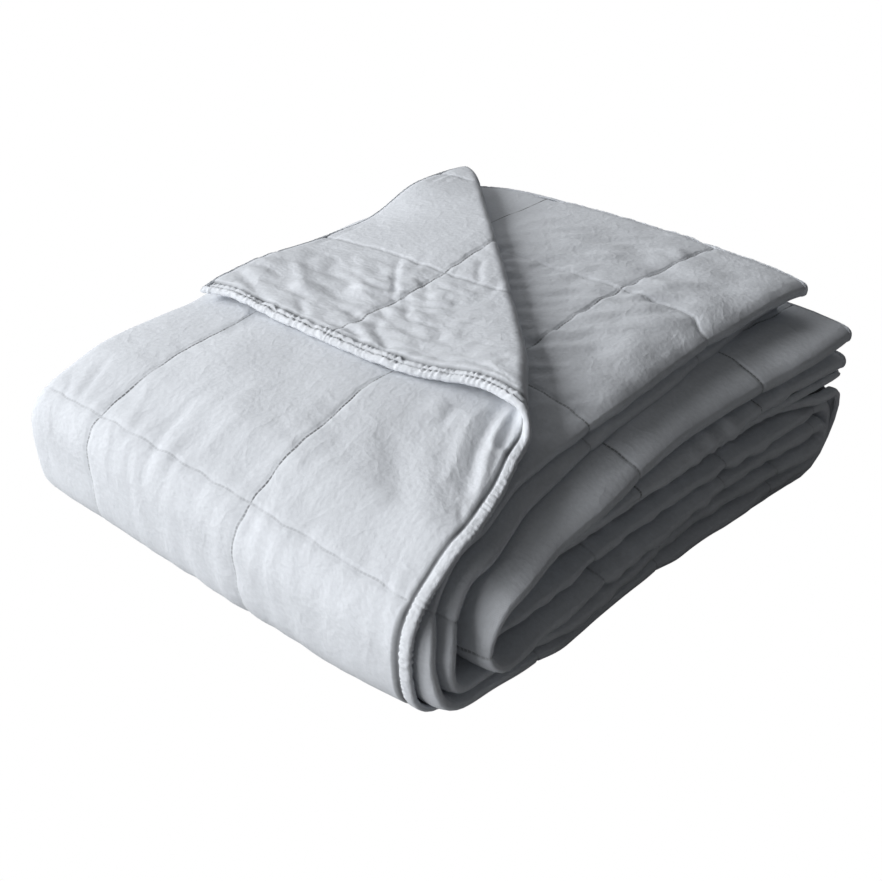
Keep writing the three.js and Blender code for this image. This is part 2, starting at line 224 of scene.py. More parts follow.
NUDGES = (
    # Bowed hem of the turned corner and its roll
    Nudge(0.0, 200.0, 110.0, 125.0, (6.0, -7.0, 1.5)),
    Nudge(0.0, 372.0, 80.0, 62.0, (2.0, -17.0, -2.0)),
    Nudge(0.0, 390.0, 80.0, 28.0, (6.0, 0.0, 0.0)),
    Nudge(0.0, 290.0, 60.0, 45.0, (-5.0, 6.0, 2.0)),
    Nudge(0.0, 325.0, 60.0, 30.0, (-7.0, 0.0, 0.0)),
    # Tip of the corner and the crest along the back hem
    Nudge(0.0, 0.0, 75.0, 70.0, (-8.0, 7.0, 7.5)),
    Nudge(0.0, 0.0, 22.0, 22.0, (-1.0, -2.0, -2.0)),
    Nudge(85.0, 0.0, 55.0, 45.0, (0.0, 0.0, 4.5)),
    Nudge(345.0, 0.0, 80.0, 70.0, (0.0, 2.0, 9.5)),
    Nudge(235.0, 0.0, 45.0, 50.0, (0.0, 0.0, -4.0)),
    Nudge(300.0, 0.0, 30.0, 40.0, (0.0, 0.0, 2.0)),
    Nudge(404.0, 0.0, 35.0, 40.0, (-6.0, 0.0, 0.5)),
    Nudge(155.0, 0.0, 50.0, 40.0, (0.0, -4.0, 0.5)),
    Nudge(500.0, 0.0, 70.0, 60.0, (0.0, 0.0, 3.5)),
    # Front corner on the right
    Nudge(0.0, 640.0, 60.0, 70.0, (-3.0, 4.0, 11.0)),
    Nudge(0.0, 640.0, 22.0, 60.0, (0.0, 4.0, 0.0)),
    Nudge(872.0, 640.0, 120.0, 70.0, (-1.0, 8.0, 7.5)),
    Nudge(1744.0, 640.0, 120.0, 70.0, (-3.0, 4.0, 7.0)),
    # Inner nose and loose tail
    Nudge(1744.0, 1577.0, 140.0, 55.0, (0.0, 13.0, -2.0)),
    Nudge(1744.0, 1800.0, 30.0, 200.0, (0.0, 0.0, -4.0)),
    Nudge(1744.0, 1672.0, 80.0, 50.0, (-8.0, 0.0, 0.0)),
    Nudge(1744.0, 2045.0, 40.0, 60.0, (0.0, 0.0, 3.0)),
    Nudge(1805.0, 1900.0, 50.0, 260.0, (0.0, 0.0, 6.0)),
    # Hem on the back fold
    Nudge(0.0, 1126.0, 60.0, 36.0, (20.0, 2.0, 0.0)),
)


@dataclass(frozen=True)
class PackFold:
    """How the flat quilt is folded into its pack. All sizes are in mm.

    Attributes:
        edges: Edges of the zig-zag across, from the right hem to the far hem.
        flap: The corner that is turned back.
        nudges: Given shifts.
        seams: Seams that pinch the folds.
        layers: Number of layers across.
        pitch: Height of one layer.
        panel: Width of one layer.
        top_length: Stretch on top of the pack.
        front_length: Stretch of the front fold.
        inner_length: Stretch of the bottom segment, and of the middle one.
        nose_length: Stretch of the back fold, and of the inner front fold.
        tail_length: Stretch of the tail.
        front_reach: y of the front.
        back_reach: y of the back.
        floor_clearance: Height that the pack is lowered by.
        wave_length: Length of the slow waves of the edges.
        end_bow: Bow of the free ends between two edges.
        blunt_left: Power of the front fold's outline below its middle, on the left.
        blunt_right: The same on the right.
        round_left: Power of that outline above its middle, on the left.
        round_right: The same on the right.
        fold_puff: How much the folds swell between the seams.
        seam_pinch: Reach of a seam's pinch.
        ragged: How far the folds wander at random.
        ragged_length: Length of that wander.
        ragged_seed: Number that picks it, to which each edge adds its own.
        sway: How far the folds rise and fall at random.
        sway_line: Line of that sway.
        tip_radius: Radius of a fold at its tip.
        tip_length: Length over which a fold opens to the full pitch.
        droop_length: Reach of a fold's droop into its layers.
        droop_start: Distance from the back hem at which a droop is full.
        droop_at_hem: Share of a droop at the back hem.
        droops: Droop of each edge on top.
        tail_droops: Droop of each edge in the tail.
        slope_step: Step over which the normal is taken.
        press_depths: Rows of y at which the height is pressed or loosened.
        press_factors: Factors of the height in these rows.
        press_middle: y from which the back's factors from side to side hold.
        side_places: Rows of x for the factors from side to side.
        front_sides: Factors in these rows at the front.
        back_sides: Factors in these rows at the back.
    """

    edges: tuple[FoldEdge, ...] = PACK_EDGES
    flap: Flap = Flap()
    nudges: tuple[Nudge, ...] = NUDGES
    seams: tuple[float, ...] = ALONG_SEAMS
    layers: int = 5
    pitch: float = 7.0
    panel: float = 436.0
    top_length: float = 455.0
    front_length: float = 180.0
    inner_length: float = 430.0
    nose_length: float = 55.0
    tail_length: float = 450.0
    front_reach: float = -264.0
    back_reach: float = 271.0
    floor_clearance: float = 0.7
    wave_length: float = 310.0
    end_bow: float = 8.0
    blunt_left: float = 6.0
    blunt_right: float = 3.8
    round_left: float = 2.6
    round_right: float = 2.0
    fold_puff: float = 1.0
    seam_pinch: float = 16.0
    ragged: float = 0.9
    ragged_length: float = 26.0
    ragged_seed: int = 70
    sway: float = 0.7
    sway_line: Wander = Wander(30.0, 80)
    tip_radius: float = 1.9
    tip_length: float = 30.0
    droop_length: float = 34.0
    droop_start: float = 150.0
    droop_at_hem: float = 0.3
    droops: tuple[float, ...] = (0.0, 0.0, 5.0, 0.0, 1.5)
    tail_droops: tuple[float, ...] = (0.0, 0.0, -1.2, 0.0, 0.0)
    slope_step: float = 0.05
    press_depths: tuple[float, ...] = (-264.0, -231.0, -194.0, -92.0, 30.0, 146.0, 270.0)
    press_factors: tuple[float, ...] = (0.91, 0.88, 0.97, 1.16, 1.3, 1.37, 1.38)
    press_middle: float = 30.0
    side_places: tuple[float, ...] = (-250.0, -130.0, 250.0)
    front_sides: tuple[float, ...] = (1.02, 1.05, 1.0)
    back_sides: tuple[float, ...] = (0.91, 1.01, 1.04)

    @property
    def stack(self) -> float:
        """Height of the layers of one segment."""
        return self.layers * self.pitch

    @property
    def width(self) -> float:
        """Width of the flat quilt."""
        return self.layers * self.panel

    @property
    def front_end(self) -> float:
        """Where the front fold ends along the quilt."""
        return self.top_length + self.front_length

    @property
    def back_start(self) -> float:
        """Where the back fold starts."""
        return self.front_end + self.inner_length

    @property
    def back_end(self) -> float:
        """Where the back fold ends."""
        return self.back_start + self.nose_length

    @property
    def nose_start(self) -> float:
        """Where the inner front fold starts."""
        return self.back_end + self.inner_length

    @property
    def nose_end(self) -> float:
        """Where the inner front fold ends."""
        return self.nose_start + self.nose_length

    @property
    def length(self) -> float:
        """Length of the flat quilt."""
        return self.nose_end + self.tail_length

    @property
    def half_arc(self) -> float:
        """Cloth on either side of a turn across, up to its quarter circle."""
        return math.pi * self.pitch / 4.0

    @property
    def stations(self) -> Array:
        """Places along the quilt at which its edges are given.

        Returns:
            The places, from the back hem to the tail.
        """
        middle_top = self.flap.on_right_hem
        front_bottom = self.front_end + self.nose_length
        pairs = (
            (self.top_length, self.front_end),
            (self.front_end, self.back_start),
            (self.back_start, self.back_end),
            (self.back_end, self.nose_start),
            (self.nose_start, self.nose_end),
        )
        front, *others = [(start + end) / 2.0 for start, end in pairs]
        top = (0.0, middle_top, self.top_length)
        tail = ((self.nose_end + self.length) / 2.0, self.length)
        return np.array([*top, front, front_bottom, *others, *tail])

    @property
    def front_centre(self) -> float:
        """y of the middle of the front fold."""
        return self.front_reach + 2.0 * self.stack

    @property
    def back_centre(self) -> float:
        """y of the middle of the back fold."""
        return self.back_reach - self.stack

    def side_of(self, k: Array) -> Array:
        """-1 for an edge on the left of the pack, 1 for one on the right."""
        return np.where(k % 2 == 1, -1.0, 1.0)

    def edge_x(self, b: Array) -> Array:
        """x of every edge of the zig-zag.

        Args:
            b: Places along the quilt.

        Returns:
            One row of x for each edge.
        """
        stations = self.stations
        i = np.clip(np.searchsorted(stations, b) - 1, 0, len(stations) - 2)
        share = ease((b - stations[i]) / (stations[i + 1] - stations[i]))
        puffed = 1.0 - np.exp(-((nearest(b, self.seams) / self.seam_pinch) ** 2))
        rows = []
        for k, edge in enumerate(self.edges):
            x = np.array(edge.x, float)
            waved = edge.wave * np.sin(TURN * b / self.wave_length + edge.phase)
            is_fold = 0 < k < self.layers
            puff = self.fold_puff * (puffed - 0.5) * self.side_of(np.array(k)) if is_fold else 0.0
            line = Wander(self.ragged_length, self.ragged_seed + k)
            rough = self.ragged * line.at(b) if is_fold else 0.0
            rows.append(mix(x[i], x[i + 1], share) + waved + puff + rough)
        return np.array(rows)

    def across(self, a: Array, b: Array) -> tuple[Array, Array]:
        """Folds the quilt back and forth.

        Args:
            a: Places across the quilt.
            b: Places along it.

        Returns:
            x, and the depth in the stack below its outer side.
        """
        radius = self.pitch / 2.0
        edges = self.edge_x(b)
        column = np.arange(len(b))
        fold = np.clip(np.round(a / self.panel), 1, self.layers - 1).astype(int)
        past = a - fold * self.panel
        turn = np.clip(past / radius, -math.pi / 2.0, math.pi / 2.0)
        turn_x = edges[fold, column] + self.side_of(fold) * self.tip_radius * (np.cos(turn) - 1.0)
        turn_depth = fold * self.pitch + self.tip_radius * np.sin(turn)

        panel = np.clip(np.floor(a / self.panel), 0, self.layers - 1).astype(int)
        start = panel * self.panel + np.where(panel > 0, self.half_arc, 0.0)
        is_last = panel + 1 == self.layers
        end = (panel + 1) * self.panel - np.where(is_last, 0.0, self.half_arc)
        start_x = edges[panel, column] - np.where(panel > 0, self.side_of(panel) * self.tip_radius, 0.0)
        end_x = edges[panel + 1, column]
        end_x = end_x - np.where(is_last, 0.0, self.side_of(panel + 1) * self.tip_radius)
        panel_x = mix(start_x, end_x, (a - start) / (end - start))
        inward = np.clip((np.abs(past) - self.half_arc) / self.tip_length, 0.0, 1.0)
        nip = (radius - self.tip_radius) * (1.0 - np.sqrt(1.0 - (1.0 - inward) ** 2))
        panel_depth = (panel + 0.5) * self.pitch - np.sign(past) * nip
        turning = np.abs(past) < self.half_arc
        x = np.where(turning, turn_x, panel_x)
        depth = np.where(turning, turn_depth, panel_depth)
        from_hem = mix(self.droop_at_hem, 1.0, ease(b / self.droop_start))
        on_top = ease((self.top_length - b) / self.tip_length) * from_hem
        in_tail = ease((b - self.nose_end) / self.tip_length)
        hang = np.array(self.droops)[fold] * on_top + np.array(self.tail_droops)[fold] * in_tail
        hang = hang + self.sway * self.sway_line.at(b)
        return x, depth + hang * np.exp(-((past / self.droop_length) ** 2))

    def end_y(self, a: Array, ends: Array) -> Array:
        """y of a free end of the strip.

        Args:
            a: Places across the quilt.
            ends: y of that end at every edge.

        Returns:
            y at the places.
        """
        panel = np.clip(np.floor(a / self.panel), 0, self.layers - 1).astype(int)
        share = a / self.panel - panel
        bow = np.where(panel == 0, 0.0, 4.0 * self.end_bow * share * (1.0 - share))
        return mix(ends[panel], ends[panel + 1], share) + bow

    def reach(self, angle: Array, x: Array) -> Array:
        """Reach of the front fold's outline, blunt below its middle and fuller on the left.

        Args:
            angle: Angles above the middle of the fold.
            x: Places across the pack.

        Returns:
            Factors of the radius.
        """
        share = ease((x + self.panel / 2.0) / self.panel)
        blunt = mix(self.blunt_left, self.blunt_right, share)
        power = np.where(angle < 0.0, blunt, mix(self.round_left, self.round_right, ease(2.0 * share)))
        total = np.abs(np.cos(angle)) ** power + np.abs(np.sin(angle)) ** power
        return total ** (-1.0 / power)

    def along(self, a: Array, b: Array, x: Array, depth: Array) -> tuple[Array, Array]:
        """Folds the strip along into its segments.

        Args:
            a: Places across the quilt.
            b: Places along it.
            x: Places across the pack.
            depth: Depth in the stack.

        Returns:
            y and z.
        """
        stack = self.stack
        front = self.front_centre
        back = self.back_centre
        top_ends = np.array([edge.top_end for edge in self.edges], float)
        tail_ends = np.array([edge.tail_end for edge in self.edges], float)
        front_turn = math.pi * (0.5 - (b - self.top_length) / self.front_length)
        front_radius = (2.0 * stack - depth) * self.reach(front_turn, x)
        back_turn = math.pi * ((b - self.back_start) / self.nose_length - 0.5)
        nose_turn = math.pi * ((b - self.nose_start) / self.nose_length - 0.5)
        inner_share = (b - self.front_end) / self.inner_length
        middle_share = (b - self.back_end) / self.inner_length
        tail_share = (b - self.nose_end) / self.tail_length
        where = [
            b < self.top_length,
            b < self.front_end,
            b < self.back_start,
            b < self.back_end,
            b < self.nose_start,
            b < self.nose_end,
        ]
        y = np.select(where, [
            mix(self.end_y(a, top_ends), front, b / self.top_length),
            front - front_radius * np.cos(front_turn),
            mix(front, back, inner_share),
            back + (stack - depth) * np.cos(back_turn),
            mix(back, front, middle_share),
            front - depth * np.cos(nose_turn),
        ], mix(front, self.end_y(a, tail_ends), tail_share))
        z = np.select(where, [
            4.0 * stack - depth,
            2.0 * stack + front_radius * np.sin(front_turn),
            depth,
            stack + (stack - depth) * np.sin(back_turn),
            2.0 * stack - depth,
            2.0 * stack + depth * np.sin(nose_turn),
        ], 2.0 * stack + depth)
        return y, z

    def flat_pack(self, a: Array, b: Array) -> Array:
        """Middle of the cloth before its corner is turned back.

        Args:
            a: Places across the quilt.
            b: Places along it.

        Returns:
            Points of the pack.
        """
        x, depth = self.across(a, b)
        y, z = self.along(a, b, x, depth)
        return np.stack([x, y, z], axis=1)

    def turned(self, points: Array) -> Array:
        """Rolls what lies past the corner's fold back over the outer layer.

        Args:
            points: Points of the outer layer.

        Returns:
            The same points with the corner turned back.
        """
        flap = self.flap
        ends = self.flat_pack(np.array([0.0, flap.on_back_hem]), np.array([flap.on_right_hem, 0.0]))
        run = ends[1] - ends[0]
        out = np.array([run[1], -run[0], 0.0]) / math.hypot(run[0], run[1])
        offset = points - ends[0]
        past = offset @ out
        share = np.clip(offset @ run / (run @ run), 0.0, 1.0)
        radius = mix(flap.back_radius, flap.hem_radius, np.exp(-share / flap.hem_share))
        turn = past / radius
        behind = past - math.pi * radius
        settled = mix(flap.back_radius, radius, np.exp(-((behind / flap.settle) ** 2)))
        rolling = turn < math.pi
        reach = np.where(rolling, radius * np.sin(turn), -behind)
        moved = points + (reach - past)[:, None] * out
        moved[:, 2] += np.where(rolling, radius * (1.0 - np.cos(turn)), 2.0 * settled)
        return np.where((past > 0.0)[:, None], moved, points)

    def middle(self, a: Array, b: Array) -> Array:
        """Middle of the cloth in the folded pack, not yet pressed.

        Args:
            a: Places across the quilt.
            b: Places along it.

        Returns:
            Points of the pack.
        """
        flap = self.flap
        points = self.flat_pack(a, b)
        corner = (a < (flap.on_back_hem + self.panel) / 2.0) & (b < self.top_length)
        if corner.any():
            points[corner] = self.turned(points[corner])
        for nudge in self.nudges:
            points += np.exp(-nudge.off(a, b))[:, None] * np.array(nudge.move)
        return points

    def normal(self, a: Array, b: Array) -> Array:
        """Normal of the folded cloth on its face.

        Args:
            a: Places across the quilt.
            b: Places along it.

        Returns:
            Unit vectors.
        """
        step = self.slope_step
        along_a = self.middle(a + step, b) - self.middle(a - step, b)
        along_b = self.middle(a, b + step) - self.middle(a, b - step)
        normal = np.cross(along_a, along_b)
        return normal / np.linalg.norm(normal, axis=1)[:, None]

    def height_factor(self, x: Array, y: Array) -> Array:
        """How much the pack is pressed or loosened at a place.

        Args:
            x: Places across the pack.
            y: Places along it.

        Returns:
            Factors of the height.
        """
        places = np.array(self.side_places)
        front = smooth_between(x, places, np.array(self.front_sides))
        back = smooth_between(x, places, np.array(self.back_sides))
        inward = np.clip((y - self.front_reach) / (self.press_middle - self.front_reach), 0.0, 1.0)
        pressed = smooth_between(y, np.array(self.press_depths), np.array(self.press_factors))
        return mix(front, back, inward) * pressed

    def place(self, a: Array, b: Array, raised: Array) -> Array:
        """Points of the pack in metres.

        Args:
            a: Places across the quilt.
            b: Places along it.
            raised: Heights off the middle of the cloth, towards its face.

        Returns:
            The points, resting on z = 0.
        """
        points = self.middle(a, b) + raised[:, None] * self.normal(a, b)
        pressed = (points[:, 2] - self.floor_clearance) * self.height_factor(points[:, 0], points[:, 1])
        points[:, 2] = np.maximum(pressed, 0.0)
        return points * MM


@dataclass(frozen=True)
class Ripple:
    """A soft random swell of the cloth, a sum of plane waves over the flat quilt.

    Attributes:
        length: Usual length of its waves, in mm.
        height: Usual height, in mm.
        seed: Number that picks the swell.
        heading: Direction that its streaks run in, in degrees from across to along the quilt.
        stretch: How much longer its waves are in that direction.
        waves: Number of plane waves.
        shortest: Shortest wave, as a share of the usual length.
        longest: Longest wave, as a share of it.
    """

    length: float
    height: float
    seed: int
    heading: float = 0.0
    stretch: float = 1.0
    waves: int = 28
    shortest: float = 0.7
    longest: float = 1.5

    def at(self, a: Array, b: Array) -> Array:
        """Heights of the swell.

        Args:
            a: Places across the flat quilt.
            b: Places along it.

        Returns:
            Heights at the places.
        """
        rng = np.random.default_rng(self.seed)
        angles = rng.uniform(0.0, TURN, self.waves)
        lengths = self.length * rng.uniform(self.shortest, self.longest, self.waves)
        phases = rng.uniform(0.0, TURN, self.waves)
        heading = math.radians(self.heading)
        run = (a * math.cos(heading) + b * math.sin(heading)) / self.stretch
        off = b * math.cos(heading) - a * math.sin(heading)
        total = np.zeros(len(a))
        for angle, length, phase in zip(angles, lengths, phases):
            way = run * math.cos(angle) + off * math.sin(angle)
            total += np.cos(TURN * way / length + phase)
        return self.height * math.sqrt(2.0 / self.waves) * total


@dataclass(frozen=True)
class Crumple(Patch):
    """A patch of crumpled cloth.

    Attributes:
        ripple: The swell that the crumples are made from.
        crisp: Whether the swell is turned into narrow ridges between hollows.
        crest: How round those ridges are.
        cut_off: Squared distance at which the patch ends.
    """

    ripple: Ripple
    crisp: bool = False
    crest: float = 0.04
    cut_off: float = 4.0

    def at(self, a: Array, b: Array) -> Array:
        """Heights of the patch.

        Args:
            a: Places across the flat quilt.
            b: Places along it.

        Returns:
            Heights at the places.
        """
        total = np.zeros(len(a))
        off = self.off(a, b)
        near = off < self.cut_off
        if not near.any():
            return total
        swell = self.ripple.at(a[near], b[near])
        if self.crisp:
            height = self.ripple.height
            swell = height * (1.0 - np.sqrt((swell / height) ** 2 + self.crest))
        total[near] = swell * np.exp(-(off[near] ** 2))
        return total


@dataclass(frozen=True)
class Drift(Patch):
    """A shift of the quilting by da across and db along the flat quilt."""

    da: float
    db: float


@dataclass(frozen=True)
class Quilting:
    """The seams of the quilting, straight on the pattern and drifted on the cloth, in mm.

    Attributes:
        fold: How the quilt is folded.
        drifts: Given shifts.
        kink_across: Small random shift across.
        kink_along: Small random shift along.
        hem_hold: Width of cloth at the hems that stays in place.
        hem_free: Width next to it over which the cloth comes free.
        turn_hold: Width at the turns that stays in place.
        turn_free: Width next to it over which the cloth comes free.
    """

    fold: PackFold
    drifts: tuple[Drift, ...]
    kink_across: Ripple = Ripple(24.0, 0.5, 31)
    kink_along: Ripple = Ripple(24.0, 0.5, 32)
    hem_hold: float = 4.0
    hem_free: float = 36.0
    turn_hold: float = 8.0
    turn_free: float = 25.0

    def inset(self, a: Array, b: Array) -> Array:
        """Distance to the nearest hem."""
        return np.minimum(np.minimum(a, self.fold.width - a), np.minimum(b, self.fold.length - b))

    def drifted(self, a: Array, b: Array) -> tuple[Array, Array]:
        """Moves places of the pattern to where they lie on the cloth.

        Args:
            a: Places across the pattern.
            b: Places along it.

        Returns:
            Places across and along the flat quilt.
        """
        panel = self.fold.panel
        off_fold = np.abs(a - np.round(a / panel) * panel)
        off_fold = np.where((a < panel / 2.0) | (a > self.fold.width - panel / 2.0), panel, off_fold)
        off_hem = self.inset(a, b)
        free = ease((off_hem - self.hem_hold) / self.hem_free)
        free = free * ease((off_fold - self.turn_hold) / self.turn_free)
        move_a = self.kink_across.at(a, b)
        move_b = self.kink_along.at(a, b)
        for drift in self.drifts:
            share = np.exp(-drift.off(a, b))
            move_a += drift.da * share
            move_b += drift.db * share
        return a + free * move_a, b + free * move_b


@dataclass(frozen=True)
class Crease:
    """A given soft ridge or trough, in mm.

    Attributes:
        a0: Start across the flat quilt.
        b0: Start along it.
        a1: End across.
        b1: End along.
        width: Half its width.
        height: Its height, below zero for a trough.
        taper: Share of its length over which each end fades.
    """

    a0: float
    b0: float
    a1: float
    b1: float
    width: float
    height: float
    taper: float = 0.25

    def at(self, a: Array, b: Array) -> Array:
        """Heights of the crease.

        Args:
            a: Places across the flat quilt.
            b: Places along it.

        Returns:
            Heights at the places.
        """
        run_a = self.a1 - self.a0
        run_b = self.b1 - self.b0
        length = math.hypot(run_a, run_b)
        share = ((a - self.a0) * run_a + (b - self.b0) * run_b) / length**2
        off = ((a - self.a0) * run_b - (b - self.b0) * run_a) / length
        fade = ease(share / self.taper + 0.5) * ease((1.0 - share) / self.taper + 0.5)
        return self.height * fade * np.exp(-((off / self.width) ** 2))


@dataclass(frozen=True)
class Relief:
    """The puffed blocks, gathers and creases of the cloth. All sizes are in mm.

    Attributes:
        fold: How the quilt is folded.
        creases: Given creases.
        crumples: Crumpled patches.
        full: Thickness in the middle of a block.
        at_seam: Thickness at a seam, without its groove.
        at_edge: Thickness under the binding.
        puff_length: Distance from a seam over which a block swells.
        groove_depth: Depth of a stitched groove.
        groove_width: Half its width.
        turn_squeeze: Share of the thickness that is pressed out at a turn.
        turn_reach: Reach of that squeeze.
        pucker_height: Height of the gathers across the seams.
        pucker_length: Their length along a seam.
        pucker_reach: Their usual reach off it.
        pucker_slant: Their slant.
        pucker_spread: How much their reach varies.
        pucker_spread_length: Length along a seam over which it varies.
        pucker_cut_off: Number of reaches at which they end.
        face_seed: Number that picks the gathers of the face.
        back_seed: Number that picks those of the back.
        seed_step: What each seam adds to that number.
        face_ramp: Insets across and along at which the face rises beside the binding.
        back_ramp: The same for the back.
        ramp_width: Width of that rise.
        roll_width: Width from the hem of the plain cloth in the corner's roll.
        roll_reach: Reach of that cloth along the hem.
    """

    fold: PackFold
    creases: tuple[Crease, ...]
    crumples: tuple[Crumple, ...]
    full: float = 5.9
    at_seam: float = 4.2
    at_edge: float = 2.4
    puff_length: float = 9.0
    groove_depth: float = 0.8
    groove_width: float = 1.2
    turn_squeeze: float = 0.36
    turn_reach: float = 10.0
    pucker_height: float = 0.6
    pucker_length: float = 8.0
    pucker_reach: float = 18.0
    pucker_slant: float = 0.2
    pucker_spread: float = 0.6
    pucker_spread_length: float = 31.0
    pucker_cut_off: float = 5.0
    face_seed: int = 10
    back_seed: int = 500
    seed_step: int = 3
    face_ramp: tuple[float, float] = (10.6, 7.6)
    back_ramp: tuple[float, float] = (11.0, 1.4)
    ramp_width: float = 2.8
    roll_width: float = 80.0
    roll_reach: float = 40.0

    def edge_ramp(self, a: Array, b: Array, side: Side) -> Array:
        """Rise from the thin edge under the binding to the quilted cloth beside it.

        Args:
            a: Places across the quilt.
            b: Places along it.
            side: Side of the sheet.

        Returns:
            Shares from 0 under the binding to 1 beside it.
        """
        start_a, start_b = self.face_ramp if side is Side.FACE else self.back_ramp
        inset_a = np.minimum(a, self.fold.width - a) - start_a
        inset_b = np.minimum(b, self.fold.length - b) - start_b
        return ease(np.minimum(inset_a, inset_b) / self.ramp_width)

    def puckers(self, a: Array, b: Array, side: Side) -> Array:
        """Small gathers that stand across the seams.

        Args:
            a: Places across the quilt.
            b: Places along it.
            side: Side of the sheet.

        Returns:
            Heights of the gathers.
        """
        total = np.zeros(len(a))
        families = ((ACROSS_SEAMS, a, b), (ALONG_SEAMS, b, a))
        seed = self.face_seed if side is Side.FACE else self.back_seed
        for seams, off_axis, seam_axis in families:
            for seam in seams:
                seed += self.seed_step
                off = off_axis - seam
                near = np.abs(off) < self.pucker_cut_off * self.pucker_reach
                run = seam_axis[near] + self.pucker_slant * off[near]
                spread = Wander(self.pucker_spread_length, seed).at(run)
                reach = self.pucker_reach * (1.0 + self.pucker_spread * spread)
                gather = Wander(self.pucker_length, seed + 1).at(run) * np.exp(-np.abs(off[near]) / reach)
                total[near] += self.pucker_height * gather
        return total

    def lift(self, a: Array, b: Array) -> Array:
        """Shift of the middle of the cloth by its creases and swells.

        Args:
            a: Places across the quilt.
            b: Places along it.

        Returns:
            Heights towards the face.
        """
        total = np.zeros(len(a))
        for mark in (*self.creases, *self.crumples):
            total += mark.at(a, b)
        return total

    def loft(self, a: Array, b: Array, side: Side) -> Array:
        """Distance of one side of the sheet from its middle.

        Args:
            a: Places across the quilt.
            b: Places along it.
            side: Side of the sheet.

        Returns:
            Distances from the middle.
        """
        off_a = nearest(a, ACROSS_SEAMS)
        off_b = nearest(b, ALONG_SEAMS)
        by_roll = (a < self.roll_width) & (np.abs(b - ROLL_SEAM) < self.roll_reach) & (side is Side.BACK)
        off_b = np.where(by_roll, self.roll_reach, off_b)
        puff = (1.0 - np.exp(-off_a / self.puff_length)) * (1.0 - np.exp(-off_b / self.puff_length))
        on_floor = (a < self.fold.panel) & (b > self.fold.front_end) & (b < self.fold.back_start)
        if side is Side.FACE:
            puff = np.where(on_floor, 1.0, puff)
        panel = self.fold.panel
        turn = np.clip(np.round(a / panel), 1, self.fold.layers - 1) * panel
        pressed = 1.0 - self.turn_squeeze * np.exp(-(((a - turn) / self.turn_reach) ** 2))
        half = mix(self.at_seam, self.full, puff) * pressed / 2.0
        groove = np.exp(-((np.minimum(off_a, off_b) / self.groove_width) ** 2))
        fine = np.where(by_roll, 0.0, self.puckers(a, b, side)) - self.groove_depth * groove
        quilted = half + np.where(on_floor, 0.0, fine)
        return mix(self.at_edge / 2.0, quilted, self.edge_ramp(a, b, side))


@dataclass(frozen=True)
class StitchShade:
    """How dark the painted shade of the stitched seams and the painted shadow beside the binding
    look: 1 is a full line.

    Places, reaches and widths are in mm. The painted shade of a seam stands for the shade in its
    stitched groove and is set per seam and place to how dark that groove looks under the light.
    Seams that are spaced across have across_depth on top and fade at the front. Seams that are
    spaced along have the entries of along_depths by the roll, by the hem of the turned corner,
    left and right on the second layer, and in the tail. On the face the painted shadow beside
    the binding widens towards the front.
    """

    fold: PackFold
    across_depth: float = 0.86
    across_swing: float = 0.3
    across_line: Wander = Wander(13.0, 66)
    fade_start: float = 530.0
    fade_length: float = 50.0
    faded: float = 0.3
    corner_depth: float = 0.2
    inner_depth: float = 0.8
    along_depths: tuple[float, ...] = (0.1, 1.0, 0.05, 0.7, 0.7)
    along_usual: float = 0.3
    roll_reach: float = 20.0
    hem_reach: float = 235.0
    second_middle: float = 820.0
    second_reach: float = 80.0
    second_width: float = 30.0
    face_line: float = 10.9
    back_line: float = 11.4
    face_width: float = 2.5
    front_width: float = 3.3
    back_width: float = 1.6
    widen_start: float = 470.0
    widen_length: float = 60.0
    line_blur: float = 1.3
    face_shade: float = 1.0
    back_shade: float = 0.5
    face_swing: float = 0.12
    back_swing: float = 0.4
    shade_line: Wander = Wander(15.0, 64)

    def groove_shade(self, a: Array, b: Array, face: Array) -> Array:
        """How dark the painted shade in the groove of the nearest seam is.

        Args:
            a: Places across the pattern.
            b: Places along it.
            face: Which points lie on the face of the sheet.

        Returns:
            Depths of the painted shade.
        """
        fold = self.fold
        on_corner = ~face & (a < fold.flap.on_back_hem) & (b < fold.flap.on_right_hem)
        fading = mix(1.0, self.faded, ease((b - self.fade_start) / self.fade_length))
        fading = fading * (self.across_depth + self.across_swing * self.across_line.at(b))
        across = np.where(b < fold.front_end, fading, self.inner_depth)
        across = np.where(on_corner, self.corner_depth, across)
        by_roll = on_corner & (np.abs(b - ROLL_SEAM) < self.roll_reach)
        by_hem = on_corner & (a < self.hem_reach)
        left_second = (a > fold.panel) & (a < SECOND_SEAM) & (b < fold.top_length)
        right_second = np.abs(a - self.second_middle) < self.second_reach
        right_second = right_second & (np.abs(b - ROLL_SEAM) < self.second_width)
        in_tail = b > fold.nose_start
        areas = [by_roll, by_hem, left_second, right_second, in_tail]
        along = np.select(areas, list(self.along_depths), self.along_usual)
        return np.where(nearest(a, ACROSS_SEAMS) < nearest(b, ALONG_SEAMS), across, along)

    def ditch_shade(self, a: Array, b: Array, face: Array) -> Array:
        """Painted shadow in the groove beside the binding.

        Args:
            a: Places across the pattern.
            b: Places along it.
            face: Which points lie on the face of the sheet.

        Returns:
            Depths of the painted shadow.
        """
        # Painted shadow: the cloth along the groove beside the binding is darkened
        off_line = np.abs(a - np.where(face, self.face_line, self.back_line))
        widening = ease((b - self.widen_start) / self.widen_length)
        face_width = mix(self.face_width, self.front_width, widening)
        half_width = np.where(face, face_width, self.back_width)
        beside = np.clip((half_width - off_line) / self.line_blur, 0.0, 1.0)
        swing = np.where(face, self.face_swing, self.back_swing)
        shade = np.where(face, self.face_shade, self.back_shade) + swing * self.shade_line.at(b)
        return beside * shade


